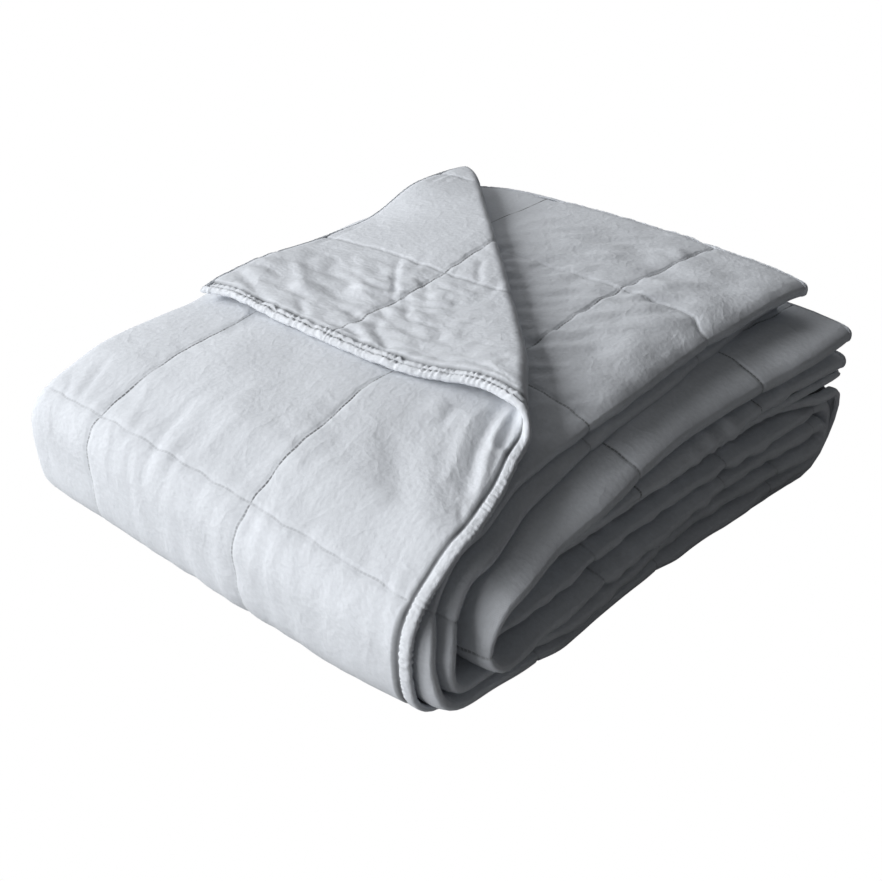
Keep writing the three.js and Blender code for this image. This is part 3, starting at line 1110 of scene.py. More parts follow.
@dataclass(frozen=True)
class MeshSteps:
    """Widest steps of the sheet's mesh, small where that side of the cloth shows, in mm.

    The steps come first. The other sizes bound the areas: how far an area goes past a fold or
    under the corner, where it starts, or its reach to either side of a fold. Those of the corner
    and its roll are shares of the way from the corner of the sheet to its fold.
    """

    fold: PackFold
    hidden: float = 60.0
    shown: float = 2.7
    roll: float = 3.4
    second_layer: float = 3.4
    right_fold: float = 4.2
    left_fold: float = 7.0
    back_fold: float = 8.0
    hem: float = 3.6
    hidden_hem: float = 30.0
    fine: float = 5.0
    at_seam: float = 1.3
    off_seam: float = 0.4
    corner_tip: tuple[float, float] = (357.0, 405.0)
    under_corner: float = 12.0
    past_panel: float = 6.0
    past_front: float = 15.0
    roll_middle: float = 0.96
    roll_width: float = 0.14
    corner_share: float = 1.12
    left_reach: float = 30.0
    right_reach: float = 34.0
    back_reach: float = 45.0
    second_start: float = 590.0
    past_second: float = 30.0
    tail_shift: float = 35.0
    tail_reach: float = 50.0
    rim_width: float = 1.0
    hem_past_front: float = 20.0
    hem_past_second: float = 10.0

    def corner_part(self, a: Array, b: Array) -> Array:
        """Shares of the way from the corner of the sheet to its fold."""
        return a / self.fold.flap.on_back_hem + b / self.fold.flap.on_right_hem

    def face_areas(self, a: Array, b: Array) -> list[tuple[Array, float]]:
        """Areas of the face that are cut finer.

        Args:
            a: Places across the quilt.
            b: Places along it.

        Returns:
            A mask and a step for each area.
        """
        fold = self.fold
        flap = fold.flap
        tip_a, tip_b = self.corner_tip
        outer = a < fold.panel + self.past_panel
        hem_b = flap.on_right_hem + (tip_b - flap.on_right_hem) * a / tip_a
        hem_a = flap.on_back_hem - (flap.on_back_hem - tip_a) * b / tip_b
        bare = (b > hem_b - self.under_corner) | (a > hem_a - self.under_corner)
        in_roll = np.abs(self.corner_part(a, b) - self.roll_middle) < self.roll_width
        on_left = nearest(a, (fold.panel, 3.0 * fold.panel)) < self.left_reach
        on_back_fold = np.abs(b - (fold.back_start + fold.back_end) / 2.0) < self.back_reach
        return [
            (outer & bare & (b < fold.front_end + self.past_front), self.shown),
            (outer & in_roll, self.roll),
            (on_left, self.left_fold),
            (outer & on_back_fold, self.back_fold),
        ]

    def back_areas(self, a: Array, b: Array) -> list[tuple[Array, float]]:
        """Areas of the back that are cut finer.

        Args:
            a: Places across the quilt.
            b: Places along it.

        Returns:
            A mask and a step for each area.
        """
        fold = self.fold
        on_corner = (self.corner_part(a, b) < self.corner_share) & (a < fold.panel)
        on_second = (a > self.second_start) & (a < 2.0 * fold.panel + self.past_second)
        on_right = nearest(a, (2.0 * fold.panel, 4.0 * fold.panel)) < self.right_reach
        in_tail = np.abs(a - 4.0 * fold.panel - self.tail_shift) < self.tail_reach
        return [
            (on_corner, self.shown),
            (on_second & (b < fold.top_length), self.second_layer),
            (on_right, self.right_fold),
            (in_tail & (b > fold.nose_end), self.right_fold),
        ]

    def inside(self, a: Array, b: Array, side: Side) -> Array:
        """Widest steps on one side of the sheet.

        Args:
            a: Places across the quilt.
            b: Places along it.
            side: Side of the sheet.

        Returns:
            Steps at the places.
        """
        step = np.full(len(a), self.hidden)
        areas = self.face_areas(a, b) if side is Side.FACE else self.back_areas(a, b)
        for where, size in areas:
            step[where] = np.minimum(step[where], size)
        return step

    def on_rim(self, a: Array, b: Array) -> Array:
        """Widest steps along the rim, the same for both sides.

        Args:
            a: Places across the quilt.
            b: Places along it.

        Returns:
            Steps at the places.
        """
        fold = self.fold
        on_hem = (a < self.rim_width) & (b < fold.front_end + self.hem_past_front)
        on_back = (b < self.rim_width) & (a < 2.0 * fold.panel + self.hem_past_second)
        return np.where(on_hem | on_back, self.hem, self.hidden_hem)


class Piece:
    """A dressed piece: its name, the node of the part that it stands for and its slot."""

    name: str
    node: str
    slot: str

    def linked(self, mesh: bpy.types.Mesh) -> bpy.types.Object:
        """Links the smooth-shaded mesh to the scene.

        Args:
            mesh: Mesh of the piece.

        Returns:
            Its object, at the origin.
        """
        mesh.shade_smooth()
        piece = bpy.data.objects.new(self.name, mesh)
        bpy.context.scene.collection.objects.link(piece)
        return piece

    def dress(self, piece: bpy.types.Object, finish: CottonFinish) -> None:
        """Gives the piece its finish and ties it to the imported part.

        Args:
            piece: Object of the piece.
            finish: Its finish.
        """
        piece.data.materials.append(finish.material())
        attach(piece, BODY)
        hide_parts(self.node)


@dataclass(frozen=True)
class QuiltSheet(Piece):
    """The quilted sheet: its flat pattern, cut finer where it shows, folded into the pack.

    The lines of the pattern and the gaps between them are in mm, and the lines of a turn are
    shares of half its arc. An edge of the pattern is split where it is longer than split_at steps,
    and again in the next passes.
    """

    fold: PackFold
    quilting: Quilting
    relief: Relief
    steps: MeshSteps
    stitching: StitchShade
    name: str = "quilt_cloth"
    node: str = "quilt"
    slot: str = "quilted_cotton"
    hem_lines: tuple[float, ...] = (0.0, 7.0, 8.4, 9.8, 11.2, 13.6, 22.0)
    end_lines: tuple[float, ...] = (0.0, 7.0, 13.0, 22.0)
    turn_lines: tuple[float, ...] = (-1.0, -0.5, 0.0, 0.5, 1.0)
    fold_lines: int = 7
    top_gap: float = 22.0
    layer_gap: float = 36.0
    front_gap: float = 10.0
    segment_gap: float = 34.0
    split_at: float = 1.45
    passes: int = 5

    def gap_along(self, at: float) -> float:
        """Widest gap between the lines along the quilt, by place."""
        past_top = self.front_gap if at < self.fold.front_end else self.segment_gap
        return self.top_gap if at < self.fold.top_length else past_top

    def stops_across(self) -> Array:
        """Lines across the flat quilt: hems, seams and turns, with the gaps filled.

        Returns:
            Places of the lines.
        """
        fold = self.fold
        turns = [
            k * fold.panel + fold.half_arc * share
            for k in range(1, fold.layers)
            for share in self.turn_lines
        ]
        far_lines = [fold.width - line for line in self.hem_lines]
        stops = [*self.hem_lines, *far_lines, *ACROSS_SEAMS, *turns]
        return fill(stops, lambda at: self.top_gap if at < fold.panel else self.layer_gap)

    def stops_along(self) -> Array:
        """Lines along the flat quilt: hems, seams and folds, with the gaps filled.

        Returns:
            Places of the lines.
        """
        fold = self.fold
        folds = [fold.top_length, fold.front_end]
        for start in (fold.back_start, fold.nose_start):
            folds += list(np.linspace(start, start + fold.nose_length, self.fold_lines))
        far_lines = [fold.length - line for line in self.end_lines]
        return fill([*self.end_lines, *far_lines, *ALONG_SEAMS, *folds], self.gap_along)

    def long_edges(self, bm: bmesh.types.BMesh, side: Side) -> list[bmesh.types.BMEdge]:
        """Edges of a flat pattern that are longer than they should be.

        Args:
            bm: The flat pattern.
            side: Side of the sheet that it is for.

        Returns:
            The edges to split.
        """
        edges = list(bm.edges)
        ends = np.array([[*e.verts[0].co.xy, *e.verts[1].co.xy] for e in edges])
        rim = np.array([e.is_boundary for e in edges])
        run = np.abs(ends[:, 2:] - ends[:, :2])
        a, b = (ends[:, :2] + ends[:, 2:]).T / 2.0
        steps = self.steps
        step = steps.inside(a, b, side)
        seam_off = np.where(run[:, 0] > run[:, 1], nearest(a, ACROSS_SEAMS), nearest(b, ALONG_SEAMS))
        by_seam = np.minimum(step, steps.at_seam + steps.off_seam * seam_off)
        step = np.where(step < steps.fine, by_seam, step)
        step = np.where(rim, steps.on_rim(a, b), step)
        too_long = np.hypot(run[:, 0], run[:, 1]) > self.split_at * step
        return [edge for edge, split in zip(edges, too_long) if split]

    def pattern(self, side: Side) -> bpy.types.Mesh:
        """One side of the sheet as a flat mesh in mm, fine where it shows.

        Args:
            side: Side of the sheet.

        Returns:
            The flat mesh.
        """
        across = self.stops_across()
        along = self.stops_along()
        bm = bmesh.new()
        bmesh.ops.create_grid(bm, x_segments=len(across) - 1, y_segments=len(along) - 1, size=0.5)
        for vert in bm.verts:
            i = round((vert.co.x + 0.5) * (len(across) - 1))
            j = round((vert.co.y + 0.5) * (len(along) - 1))
            vert.co = (across[i], along[j], float(side.value))
        for _ in range(self.passes):
            edges = self.long_edges(bm, side)
            if not edges:
                break
            bmesh.ops.subdivide_edges(bm, edges=edges, cuts=1, use_grid_fill=True)
        large = [face for face in bm.faces if len(face.verts) > 4]
        bmesh.ops.triangulate(bm, faces=large)
        mesh = bpy.data.meshes.new(f"{self.name}_{side.name.lower()}")
        bm.to_mesh(mesh)
        bm.free()
        return mesh

    def flat_sheet(self) -> bpy.types.Mesh:
        """Both sides of the flat sheet, joined by the wall round their rim.

        Returns:
            The closed flat mesh.
        """
        sides = [self.pattern(side) for side in Side]
        bm = bmesh.new()
        for mesh in sides:
            bm.from_mesh(mesh)
            bpy.data.meshes.remove(mesh)
        rims = [edge for edge in bm.edges if edge.is_boundary]
        bmesh.ops.bridge_loops(bm, edges=rims)
        bmesh.ops.recalc_face_normals(bm, faces=bm.faces)
        mesh = bpy.data.meshes.new(self.name)
        bm.to_mesh(mesh)
        bm.free()
        return mesh

    def build(self) -> bpy.types.Object:
        """The folded sheet, with maps of its flat places and of its seams.

        Returns:
            The object.
        """
        mesh = self.flat_sheet()
        flat = read_points(mesh)
        a, b = flat[:, 0], flat[:, 1]
        face = flat[:, 2] > 0.0
        lift = self.relief.lift(a, b)
        raised = np.where(
            face,
            self.relief.loft(a, b, Side.FACE),
            -self.relief.loft(a, b, Side.BACK),
        )
        write_points(mesh, self.fold.place(*self.quilting.drifted(a, b), lift + raised))
        off_seams = np.stack([nearest(a, ACROSS_SEAMS), nearest(b, ALONG_SEAMS)], axis=1)
        write_map(mesh, "flat", flat[:, :2] * MM)
        write_map(mesh, "seam", off_seams * MM)
        # Painted shade of the seams' grooves, one depth per point
        write_values(mesh, "groove_shade", self.stitching.groove_shade(a, b, face))
        # Painted shadow beside the binding, one depth per point
        write_values(mesh, "ditch_shade", self.stitching.ditch_shade(a, b, face))
        return self.linked(mesh)


@dataclass(frozen=True)
class Binding(Piece):
    """The strip of cloth round the edge of the sheet, gathered along its stitching, in mm.

    Its face has one row of scallops. Its back has an outer and an inner strand with a gap between
    them that carries painted shade in dark spots. Twist, gather and that painted shade vary along
    random lines. On the ends of the quilt its back is narrower and its gathers are weaker. The
    steps along the rim come last.
    """

    fold: PackFold
    relief: Relief
    name: str = "quilt_binding"
    node: str = "binding"
    slot: str = "binding_cotton"
    scallop_length: float = 5.4
    scallop_height: float = 0.09
    scallop_shift: float = 0.45
    scallop_slant: float = 1.4
    scallop_line: Wander = Wander(9.0, 61)
    strand_height: float = 0.3
    strand_shift: float = 0.75
    strand_gap: float = 3.5
    inner_start: float = 4.0
    inner_stretch: float = 1.5
    inner_slant: float = 2.0
    inner_height: float = 0.7
    inner_line: Wander = Wander(11.0, 63)
    twist_swing: float = 1.2
    gather_usual: float = 0.7
    gather_swing: float = 0.5
    gather_line: Wander = Wander(10.0, 62)
    pit_shade_line: Wander = Wander(8.0, 65)
    rim_inset: float = -0.9
    rim_shift: float = -0.8
    channel_height: float = 1.36
    end_gather: float = 0.3
    end_back_width: float = 0.3
    end_back_height: float = 0.95
    shown: float = 1.2
    hidden: float = 7.0
    end_step: float = 1.8
    turn_step: float = 1.6
    turn_reach: float = 9.0
    past_front: float = 25.0
    weld: float = 1e-6

    def section(self) -> Array:
        """Section of the strip, once round it.

        Returns:
            Rows of inset from the rim and height off the middle.
        """
        return np.array([
            (8.0, 1.35), (7.9, 2.2), (6.9, 2.75), (4.2, 2.9), (1.2, 2.85), (-0.6, 2.5), (-1.4, 1.3),
            (-1.5, 0.0), (-1.1, -1.2), (0.0, -2.1), (0.9, -2.6), (1.9, -2.6), (2.8, -2.1),
            (self.strand_gap, -1.45), (4.6, -1.9), (6.0, -2.5), (7.8, -2.5), (9.2, -1.9), (9.8, -1.35),
            (-0.5, -1.35), (-0.5, 1.35), (8.0, 1.35),
        ])

    def rim(self) -> Array:
        """The rim of the sheet, once round it.

        Returns:
            Rows of a, b, outward a, outward b and run along the rim.
        """
        fold = self.fold
        width, length = fold.width, fold.length

        def at_turn(at: float) -> bool:
            """Whether a place lies at a turn of the zig-zag."""
            return abs(at / fold.panel - round(at / fold.panel)) * fold.panel < self.turn_reach

        def back_step(at: float) -> float:
            """Step along the back hem."""
            between_turns = self.end_step if at < 2.0 * fold.panel else self.hidden
            return self.shown if at_turn(at) else between_turns

        def hem_step(at: float) -> float:
            """Step along the right hem."""
            return self.shown if at < fold.front_end + self.past_front else self.hidden

        def tail_step(at: float) -> float:
            """Step along the hem of the tail."""
            return self.turn_step if at_turn(at) else self.hidden

        back = march(width, back_step)
        hem = march(length, hem_step)
        tail = march(width, tail_step)
        far = march(length, lambda at: self.hidden)
        zero = np.zeros_like
        one = np.ones_like
        rows = np.concatenate([
            np.stack([back, zero(back), zero(back), -one(back)], axis=1)[:-1],
            np.stack([width * one(far), far, one(far), zero(far)], axis=1)[:-1],
            np.stack([tail, length * one(tail), zero(tail), one(tail)], axis=1)[:0:-1],
            np.stack([zero(hem), hem, -one(hem), zero(hem)], axis=1)[::-1],
        ])
        on_corner = np.isin(rows[:, 0], (0.0, width)) & np.isin(rows[:, 1], (0.0, length))
        rows[on_corner, 2] = np.where(rows[on_corner, 0] > 0.0, 1.0, -1.0)
        rows[on_corner, 3] = np.where(rows[on_corner, 1] > 0.0, 1.0, -1.0)
        steps = np.hypot(*np.diff(rows[:, :2], axis=0).T)
        return np.column_stack([rows, np.concatenate([[0.0], np.cumsum(steps)])])

    def build(self) -> bpy.types.Object:
        """The binding as one closed ring, with a map of its run and of its girth.

        Returns:
            The object.
        """
        section = self.section()
        rim = self.rim()
        bm = bmesh.new()
        bmesh.ops.create_grid(bm, x_segments=len(section) - 1, y_segments=len(rim) - 1, size=0.5)
        mesh = bpy.data.meshes.new(self.name)
        bm.to_mesh(mesh)
        bm.free()
        grid = read_points(mesh)[:, :2] + 0.5
        i = np.round(grid[:, 0] * (len(section) - 1)).astype(int)
        j = np.round(grid[:, 1] * (len(rim) - 1)).astype(int)
        write_points(mesh, self.folded(section[i], rim[j], i / (len(section) - 1)))
        girth = np.concatenate([[0.0], np.cumsum(np.hypot(*np.diff(section, axis=0).T))])
        write_map(mesh, "flat", np.stack([girth[i], rim[j, 4]], axis=1) * MM)
        # Painted shade in the valley between the back's strands, where its stitching runs, in dark spots
        between = (section[i, 0] == self.strand_gap) & (section[i, 1] < 0.0)
        pit_shade = np.clip(0.5 + 0.5 * self.pit_shade_line.at(rim[j, 4]), 0.0, 1.0)
        write_values(mesh, "ditch_shade", np.where(between, pit_shade, 0.0))
        bm = bmesh.new()
        bm.from_mesh(mesh)
        bmesh.ops.remove_doubles(bm, verts=bm.verts, dist=self.weld)
        bmesh.ops.recalc_face_normals(bm, faces=bm.faces)
        bm.to_mesh(mesh)
        bm.free()
        return self.linked(mesh)

    def folded(self, section: Array, rim: Array, girth: Array) -> Array:
        """Points of the strip in the pack.

        Args:
            section: Inset and height of each point.
            rim: Rim row of each point.
            girth: Share of the way round the strip.

        Returns:
            Points in metres.
        """
        fold = self.fold
        run = rim[:, 4]
        on_end = np.abs(rim[:, 3]) > 0.0
        on_back = section[:, 1] < 0.0
        inner_strand = on_back & (section[:, 0] > self.inner_start)
        on_rim = section[:, 0] < self.rim_inset
        outer = (np.abs(section[:, 1]) > self.channel_height) | on_rim
        twist = run / self.scallop_length + self.scallop_slant * girth
        twist = twist + self.twist_swing * self.scallop_line.at(run)
        inner_twist = run / (self.inner_stretch * self.scallop_length) - self.inner_slant * girth
        inner_twist = inner_twist + self.twist_swing * self.inner_line.at(run)
        twist = np.where(inner_strand, inner_twist, twist)
        gather = np.sin(TURN * twist) * (self.gather_usual + self.gather_swing * self.gather_line.at(run))
        gather = np.where(outer, gather, 0.0) * np.where(on_end, self.end_gather, 1.0)
        sideways = np.where(on_rim, self.rim_shift, ease(section[:, 0] / self.inner_start))
        shift = np.where(on_back, self.strand_shift, self.scallop_shift)
        inset = section[:, 0] + shift * gather * sideways
        swing = np.where(on_back, self.strand_height, self.scallop_height)
        swing = np.where(inner_strand, self.inner_height, 1.0) * swing
        height = section[:, 1] * (1.0 + swing * gather)
        inset = np.where(on_back & on_end, inset * self.end_back_width, inset)
        height = np.where(on_back & on_end & outer, height * self.end_back_height, height)
        inward = np.maximum(inset, 0.0)
        a = np.clip(rim[:, 0], inward, fold.width - inward) + np.maximum(-inset, 0.0) * rim[:, 2]
        b = np.clip(rim[:, 1], inward, fold.length - inward) + np.maximum(-inset, 0.0) * rim[:, 3]
        return fold.place(a, b, height + self.relief.lift(a, b))


def fill(stops: list[float], step: Step) -> Array:
    """Sorted stops, with the gaps between them filled evenly.

    Args:
        stops: Places that stay.
        step: Widest gap by place.

    Returns:
        All places.
    """
    narrowest = 1.2
    kept: list[float] = []
    for stop in sorted(stops):
        if not kept or stop - kept[-1] > narrowest:
            kept.append(stop)
    places = [kept[0]]
    for start, end in zip(kept, kept[1:]):
        parts = max(1, math.ceil((end - start) / step((start + end) / 2.0)))
        places += [start + (end - start) * k / parts for k in range(1, parts + 1)]
    return np.array(places)


def march(length: float, step: Step) -> Array:
    """Places from 0 to a length, by steps that change on the way.

    Args:
        length: Where the places end.
        step: Step by place.

    Returns:
        All places, both ends included.
    """
    longest_last = 1.5
    places = [0.0]
    while places[-1] + longest_last * step(places[-1]) < length:
        places.append(places[-1] + step(places[-1]))
    return np.array([*places, length])


def read_points(mesh: bpy.types.Mesh) -> Array:
    """Reads the points of a mesh.

    Args:
        mesh: The mesh.

    Returns:
        Rows of x, y and z.
    """
    points = np.empty(len(mesh.vertices) * 3)
    mesh.vertices.foreach_get("co", points)
    return points.reshape(-1, 3)


def write_points(mesh: bpy.types.Mesh, points: Array) -> None:
    """Moves the points of a mesh."""
    mesh.vertices.foreach_set("co", points.ravel())
    mesh.update()


def write_map(mesh: bpy.types.Mesh, name: str, values: Array) -> None:
    """Adds a UV map that carries two values of each point.

    Args:
        mesh: Mesh to add it to.
        name: Name of the map.
        values: Two values for each point.
    """
    loops = np.empty(len(mesh.loops), np.int32)
    mesh.loops.foreach_get("vertex_index", loops)
    layer = mesh.uv_layers.new(name=name)
    layer.data.foreach_set("uv", values[loops].astype(np.float32).ravel())


def write_values(mesh: bpy.types.Mesh, name: str, values: Array) -> None:
    """Adds an attribute that carries one value of each point."""
    layer = mesh.attributes.new(name, "FLOAT", "POINT")
    layer.data.foreach_set("value", values.astype(np.float32))


class Graph:
    """A node tree under construction."""

    noise_roughness = 0.55

    def __init__(self, tree: bpy.types.NodeTree) -> None:
        """Starts from an empty tree."""
        self.tree = tree
        tree.nodes.clear()

    def node(
        self,
        kind: str,
        inputs: dict[str | int, object] | None = None,
        **settings: object,
    ) -> bpy.types.Node:
        """Adds a node.

        Args:
            kind: Type of the node.
            inputs: Values or sockets for its inputs.
            **settings: Properties of the node.

        Returns:
            The node.
        """
        made = self.tree.nodes.new(kind)
        for name, value in settings.items():
            setattr(made, name, value)
        for key, value in (inputs or {}).items():
            if isinstance(value, Socket):
                self.tree.links.new(value, made.inputs[key])
            else:
                made.inputs[key].default_value = value
        return made

    def math(self, operation: str, *values: Socket | float) -> Socket:
        """Adds a Math node and returns its result."""
        return self.node("ShaderNodeMath", dict(enumerate(values)), operation=operation).outputs[0]

    def noise(self, vector: Socket, length: float, detail: float) -> Socket:
        """Adds noise from 0 to 1.

        Args:
            vector: Places to read it at.
            length: Its usual length, in metres.
            detail: Its detail.

        Returns:
            The noise.
        """
        inputs = {
            "Vector": vector,
            "Scale": 1.0 / length,
            "Detail": detail,
            "Roughness": self.noise_roughness,
        }
        return self.node("ShaderNodeTexNoise", inputs, noise_dimensions="2D").outputs["Fac"]

    def ramp(self, value: Socket, low: float, high: float, start: float, end: float) -> Socket:
        """Maps a value smoothly from one range to another."""
        inputs = {"Value": value, "From Min": low, "From Max": high, "To Min": start, "To Max": end}
        return self.node("ShaderNodeMapRange", inputs, interpolation_type="SMOOTHSTEP").outputs[0]


class Effect:
    """A shader node group, built once and placed in every finish that uses it.

    Attributes:
        name: Name of the group.
        inputs: Names and socket types of its inputs.
        outputs: Names of its outputs, which are values.
    """

    name = "effect"
    inputs: tuple[tuple[str, str], ...] = ()
    outputs: tuple[str, ...] = ()

    def tree(self) -> bpy.types.NodeTree:
        """The group, built at its first use.

        Returns:
            Its node tree.
        """
        found = bpy.data.node_groups.get(self.name)
        if found:
            return found
        made = bpy.data.node_groups.new(self.name, "ShaderNodeTree")
        for name, kind in self.inputs:
            made.interface.new_socket(name, in_out="INPUT", socket_type=kind)
        for name in self.outputs:
            made.interface.new_socket(name, in_out="OUTPUT", socket_type="NodeSocketFloat")
        graph = Graph(made)
        self.draw(graph, graph.node("NodeGroupInput"), graph.node("NodeGroupOutput"))
        return made

    def draw(self, graph: Graph, source: bpy.types.Node, result: bpy.types.Node) -> None:
        """Draws the nodes between the group's inputs and outputs."""
        raise NotImplementedError

    def place(self, graph: Graph, inputs: dict[str, object]) -> bpy.types.Node:
        """Places the group in a material's graph."""
        return graph.node("ShaderNodeGroup", inputs, node_tree=self.tree())


class WashedWeave(Effect):
    """Plain weave with the fine crinkle of washed cotton, as heights. Lengths are in metres."""

    name = "washed_weave"
    inputs = (("Flat", "NodeSocketVector"), ("Thread", "NodeSocketFloat"))
    outputs = ("Threads", "Crinkle")
    coarse_length = 0.016
    fine_length = 0.004
    fine_share = 0.4
    soft_detail = 2.0
    crease_length = 0.034
    crease_share = 0.32
    crease_power = 8.0
    crease_detail = 1.5

    def draw(self, graph: Graph, source: bpy.types.Node, result: bpy.types.Node) -> None:
        """Draws crossing threads, and a crinkle of two lengths with sharp creases.

        Args:
            graph: The group's nodes.
            source: Node with the group's inputs.
            result: Node with the group's outputs.
        """
        flat = source.outputs["Flat"]
        parts = graph.node("ShaderNodeSeparateXYZ", {0: flat})
        waves = []
        for axis in ("X", "Y"):
            count = graph.math("DIVIDE", parts.outputs[axis], source.outputs["Thread"])
            angle = graph.math("MULTIPLY", count, math.pi)
            waves.append(graph.math("SINE", angle))
        threads = graph.math("MULTIPLY", *waves)
        coarse = graph.noise(flat, self.coarse_length, self.soft_detail)
        fine = graph.noise(flat, self.fine_length, self.soft_detail)
        swell = graph.noise(flat, self.crease_length, self.crease_detail)
        centred = graph.math("MULTIPLY_ADD", swell, 2.0, -1.0)
        line = graph.math("SUBTRACT", 1.0, graph.math("ABSOLUTE", centred))
        crease = graph.math("POWER", line, self.crease_power)
        soft = graph.math("MULTIPLY_ADD", fine, self.fine_share, coarse)
        crinkle = graph.math("MULTIPLY_ADD", crease, self.crease_share, soft)
        graph.tree.links.new(threads, result.inputs["Threads"])
        graph.tree.links.new(crinkle, result.inputs["Crinkle"])


class WashedTone(Effect):
    """The uneven tone of washed cotton, as a factor of its colour. Lengths are in metres."""

    name = "washed_tone"
    inputs = (("Flat", "NodeSocketVector"), ("Amount", "NodeSocketFloat"))
    outputs = ("Tone",)
    cloud_length = 0.07
    fleck_length = 0.003
    detail = 3.0

    def draw(self, graph: Graph, source: bpy.types.Node, result: bpy.types.Node) -> None:
        """Draws large clouds and small flecks round 1.

        Args:
            graph: The group's nodes.
            source: Node with the group's inputs.
            result: Node with the group's outputs.
        """
        flat = source.outputs["Flat"]
        clouds = graph.math("SUBTRACT", graph.noise(flat, self.cloud_length, self.detail), 0.5)
        flecks = graph.math("SUBTRACT", graph.noise(flat, self.fleck_length, self.detail), 0.5)
        both = graph.math("ADD", clouds, flecks)
        tone = graph.math("MULTIPLY_ADD", both, source.outputs["Amount"], 1.0)
        graph.tree.links.new(tone, result.inputs["Tone"])


class StitchedSeamShade(Effect):
    """Painted shade of the quilting's stitched grooves, dashed like the stitches, from the distances to
    the seams, in metres.

    Attributes:
        line: Distances from a seam at which its line starts and ends to fade.
        stitch: Length of a stitch.
        gap: Distances from the end of a stitch between which the line is broken.
        gap_depth: How much of the line is left there.
        patch_length: Usual length of a patch on which the painted line is fainter.
        patch_detail: Detail of the patches.
        patch: Noise values between which the line comes back.
        patch_depth: How much of the line is left on a patch.
    """

    name = "stitched_seam_shade"
    inputs = (("Flat", "NodeSocketVector"), ("Seam", "NodeSocketVector"))
    outputs = ("Line",)
    line = (0.0004, 0.0013)
    stitch = 0.0017
    gap = (0.0002, 0.0006)
    gap_depth = 0.45
    patch_length = 0.02
    patch_detail = 2.0
    patch = (0.3, 0.6)
    patch_depth = 0.35

    def draw(self, graph: Graph, source: bpy.types.Node, result: bpy.types.Node) -> None:
        """Draws a dashed, patchy line of painted shade on every seam.

        Args:
            graph: The group's nodes.
            source: Node with the group's inputs.
            result: Node with the group's outputs.
        """
        flat = source.outputs["Flat"]
        off = graph.node("ShaderNodeSeparateXYZ", {0: source.outputs["Seam"]})
        run = graph.node("ShaderNodeSeparateXYZ", {0: flat})
        lines = []
        for off_axis, run_axis in (("X", "Y"), ("Y", "X")):
            line = graph.ramp(off.outputs[off_axis], *self.line, 1.0, 0.0)
            stitch = graph.math("PINGPONG", run.outputs[run_axis], self.stitch)
            gap = graph.ramp(stitch, *self.gap, self.gap_depth, 1.0)
            lines.append(graph.math("MULTIPLY", line, gap))
        # Patches on which the painted shade of the line is fainter
        faint_patches = graph.noise(flat, self.patch_length, self.patch_detail)
        patch = graph.ramp(faint_patches, *self.patch, self.patch_depth, 1.0)
        line = graph.math("MULTIPLY", graph.math("MAXIMUM", *lines), patch)
        graph.tree.links.new(line, result.inputs["Line"])


@dataclass(frozen=True)
class CottonFinish:
    """Washed matt cotton.

    Attributes:
        name: Name of the material.
        colour: Base colour, linear.
        tone: How uneven the colour is.
        painted_shade_strength: How much darker the painted shade of seams and binding lines is.
        thread: Width of a thread, in metres.
        thread_height: Height of a thread, in metres.
        crinkle: Depth of the crinkle, in metres.
        has_seams: Whether the cloth carries the quilting.
        roughness: Roughness of the cloth.
        specular: Strength of its highlights.
        sheen: Weight of its sheen.
        sheen_roughness: Roughness of the sheen.
    """

    name: str
    colour: tuple[float, float, float]
    tone: float = 0.16
    painted_shade_strength: float = 0.75
    thread: float = 0.0005
    thread_height: float = 0.00004
    crinkle: float = 0.0006
    has_seams: bool = True
    roughness: float = 0.95
    specular: float = 0.2
    sheen: float = 0.08
    sheen_roughness: float = 0.6

    def material(self) -> bpy.types.Material:
        """Makes the material of this finish.

        Returns:
            The material.
        """
        made = bpy.data.materials.new(self.name)
        made.use_nodes = True
        graph = Graph(made.node_tree)
        flat = graph.node("ShaderNodeUVMap", uv_map="flat").outputs["UV"]
        tone = WashedTone().place(graph, {"Flat": flat, "Amount": self.tone}).outputs["Tone"]
        weave = WashedWeave().place(graph, {"Flat": flat, "Thread": self.thread})
        # Painted shade: the painted shadows beside and inside the binding, and on the quilt the painted
        # shade of its seams' grooves, darken the colour
        depth = graph.node("ShaderNodeAttribute", attribute_name="ditch_shade").outputs["Fac"]
        if self.has_seams:
            seam = graph.node("ShaderNodeUVMap", uv_map="seam").outputs["UV"]
            line = StitchedSeamShade().place(graph, {"Flat": flat, "Seam": seam}).outputs["Line"]
            groove_shade = graph.node("ShaderNodeAttribute", attribute_name="groove_shade").outputs["Fac"]
            depth = graph.math("MAXIMUM", graph.math("MULTIPLY", line, groove_shade), depth)
        shade = graph.math("MULTIPLY_ADD", depth, -self.painted_shade_strength, 1.0)
        tone = graph.math("MULTIPLY", tone, shade)
        colour = graph.node(
            "ShaderNodeVectorMath",
            {0: self.colour, "Scale": tone},
            operation="SCALE",
        ).outputs["Vector"]
        threads = graph.math("MULTIPLY", weave.outputs["Threads"], self.thread_height)
        height = graph.math("MULTIPLY_ADD", weave.outputs["Crinkle"], self.crinkle, threads)
        bump = graph.node("ShaderNodeBump", {"Height": height, "Strength": 1.0, "Distance": 1.0})
        shader = graph.node("ShaderNodeBsdfPrincipled", {
            "Base Color": colour,
            "Roughness": self.roughness,
            "Specular IOR Level": self.specular,
            "Sheen Weight": self.sheen,
            "Sheen Roughness": self.sheen_roughness,
            "Normal": bump.outputs["Normal"],
        })
        graph.node("ShaderNodeOutputMaterial", {"Surface": shader.outputs["BSDF"]})
        return made


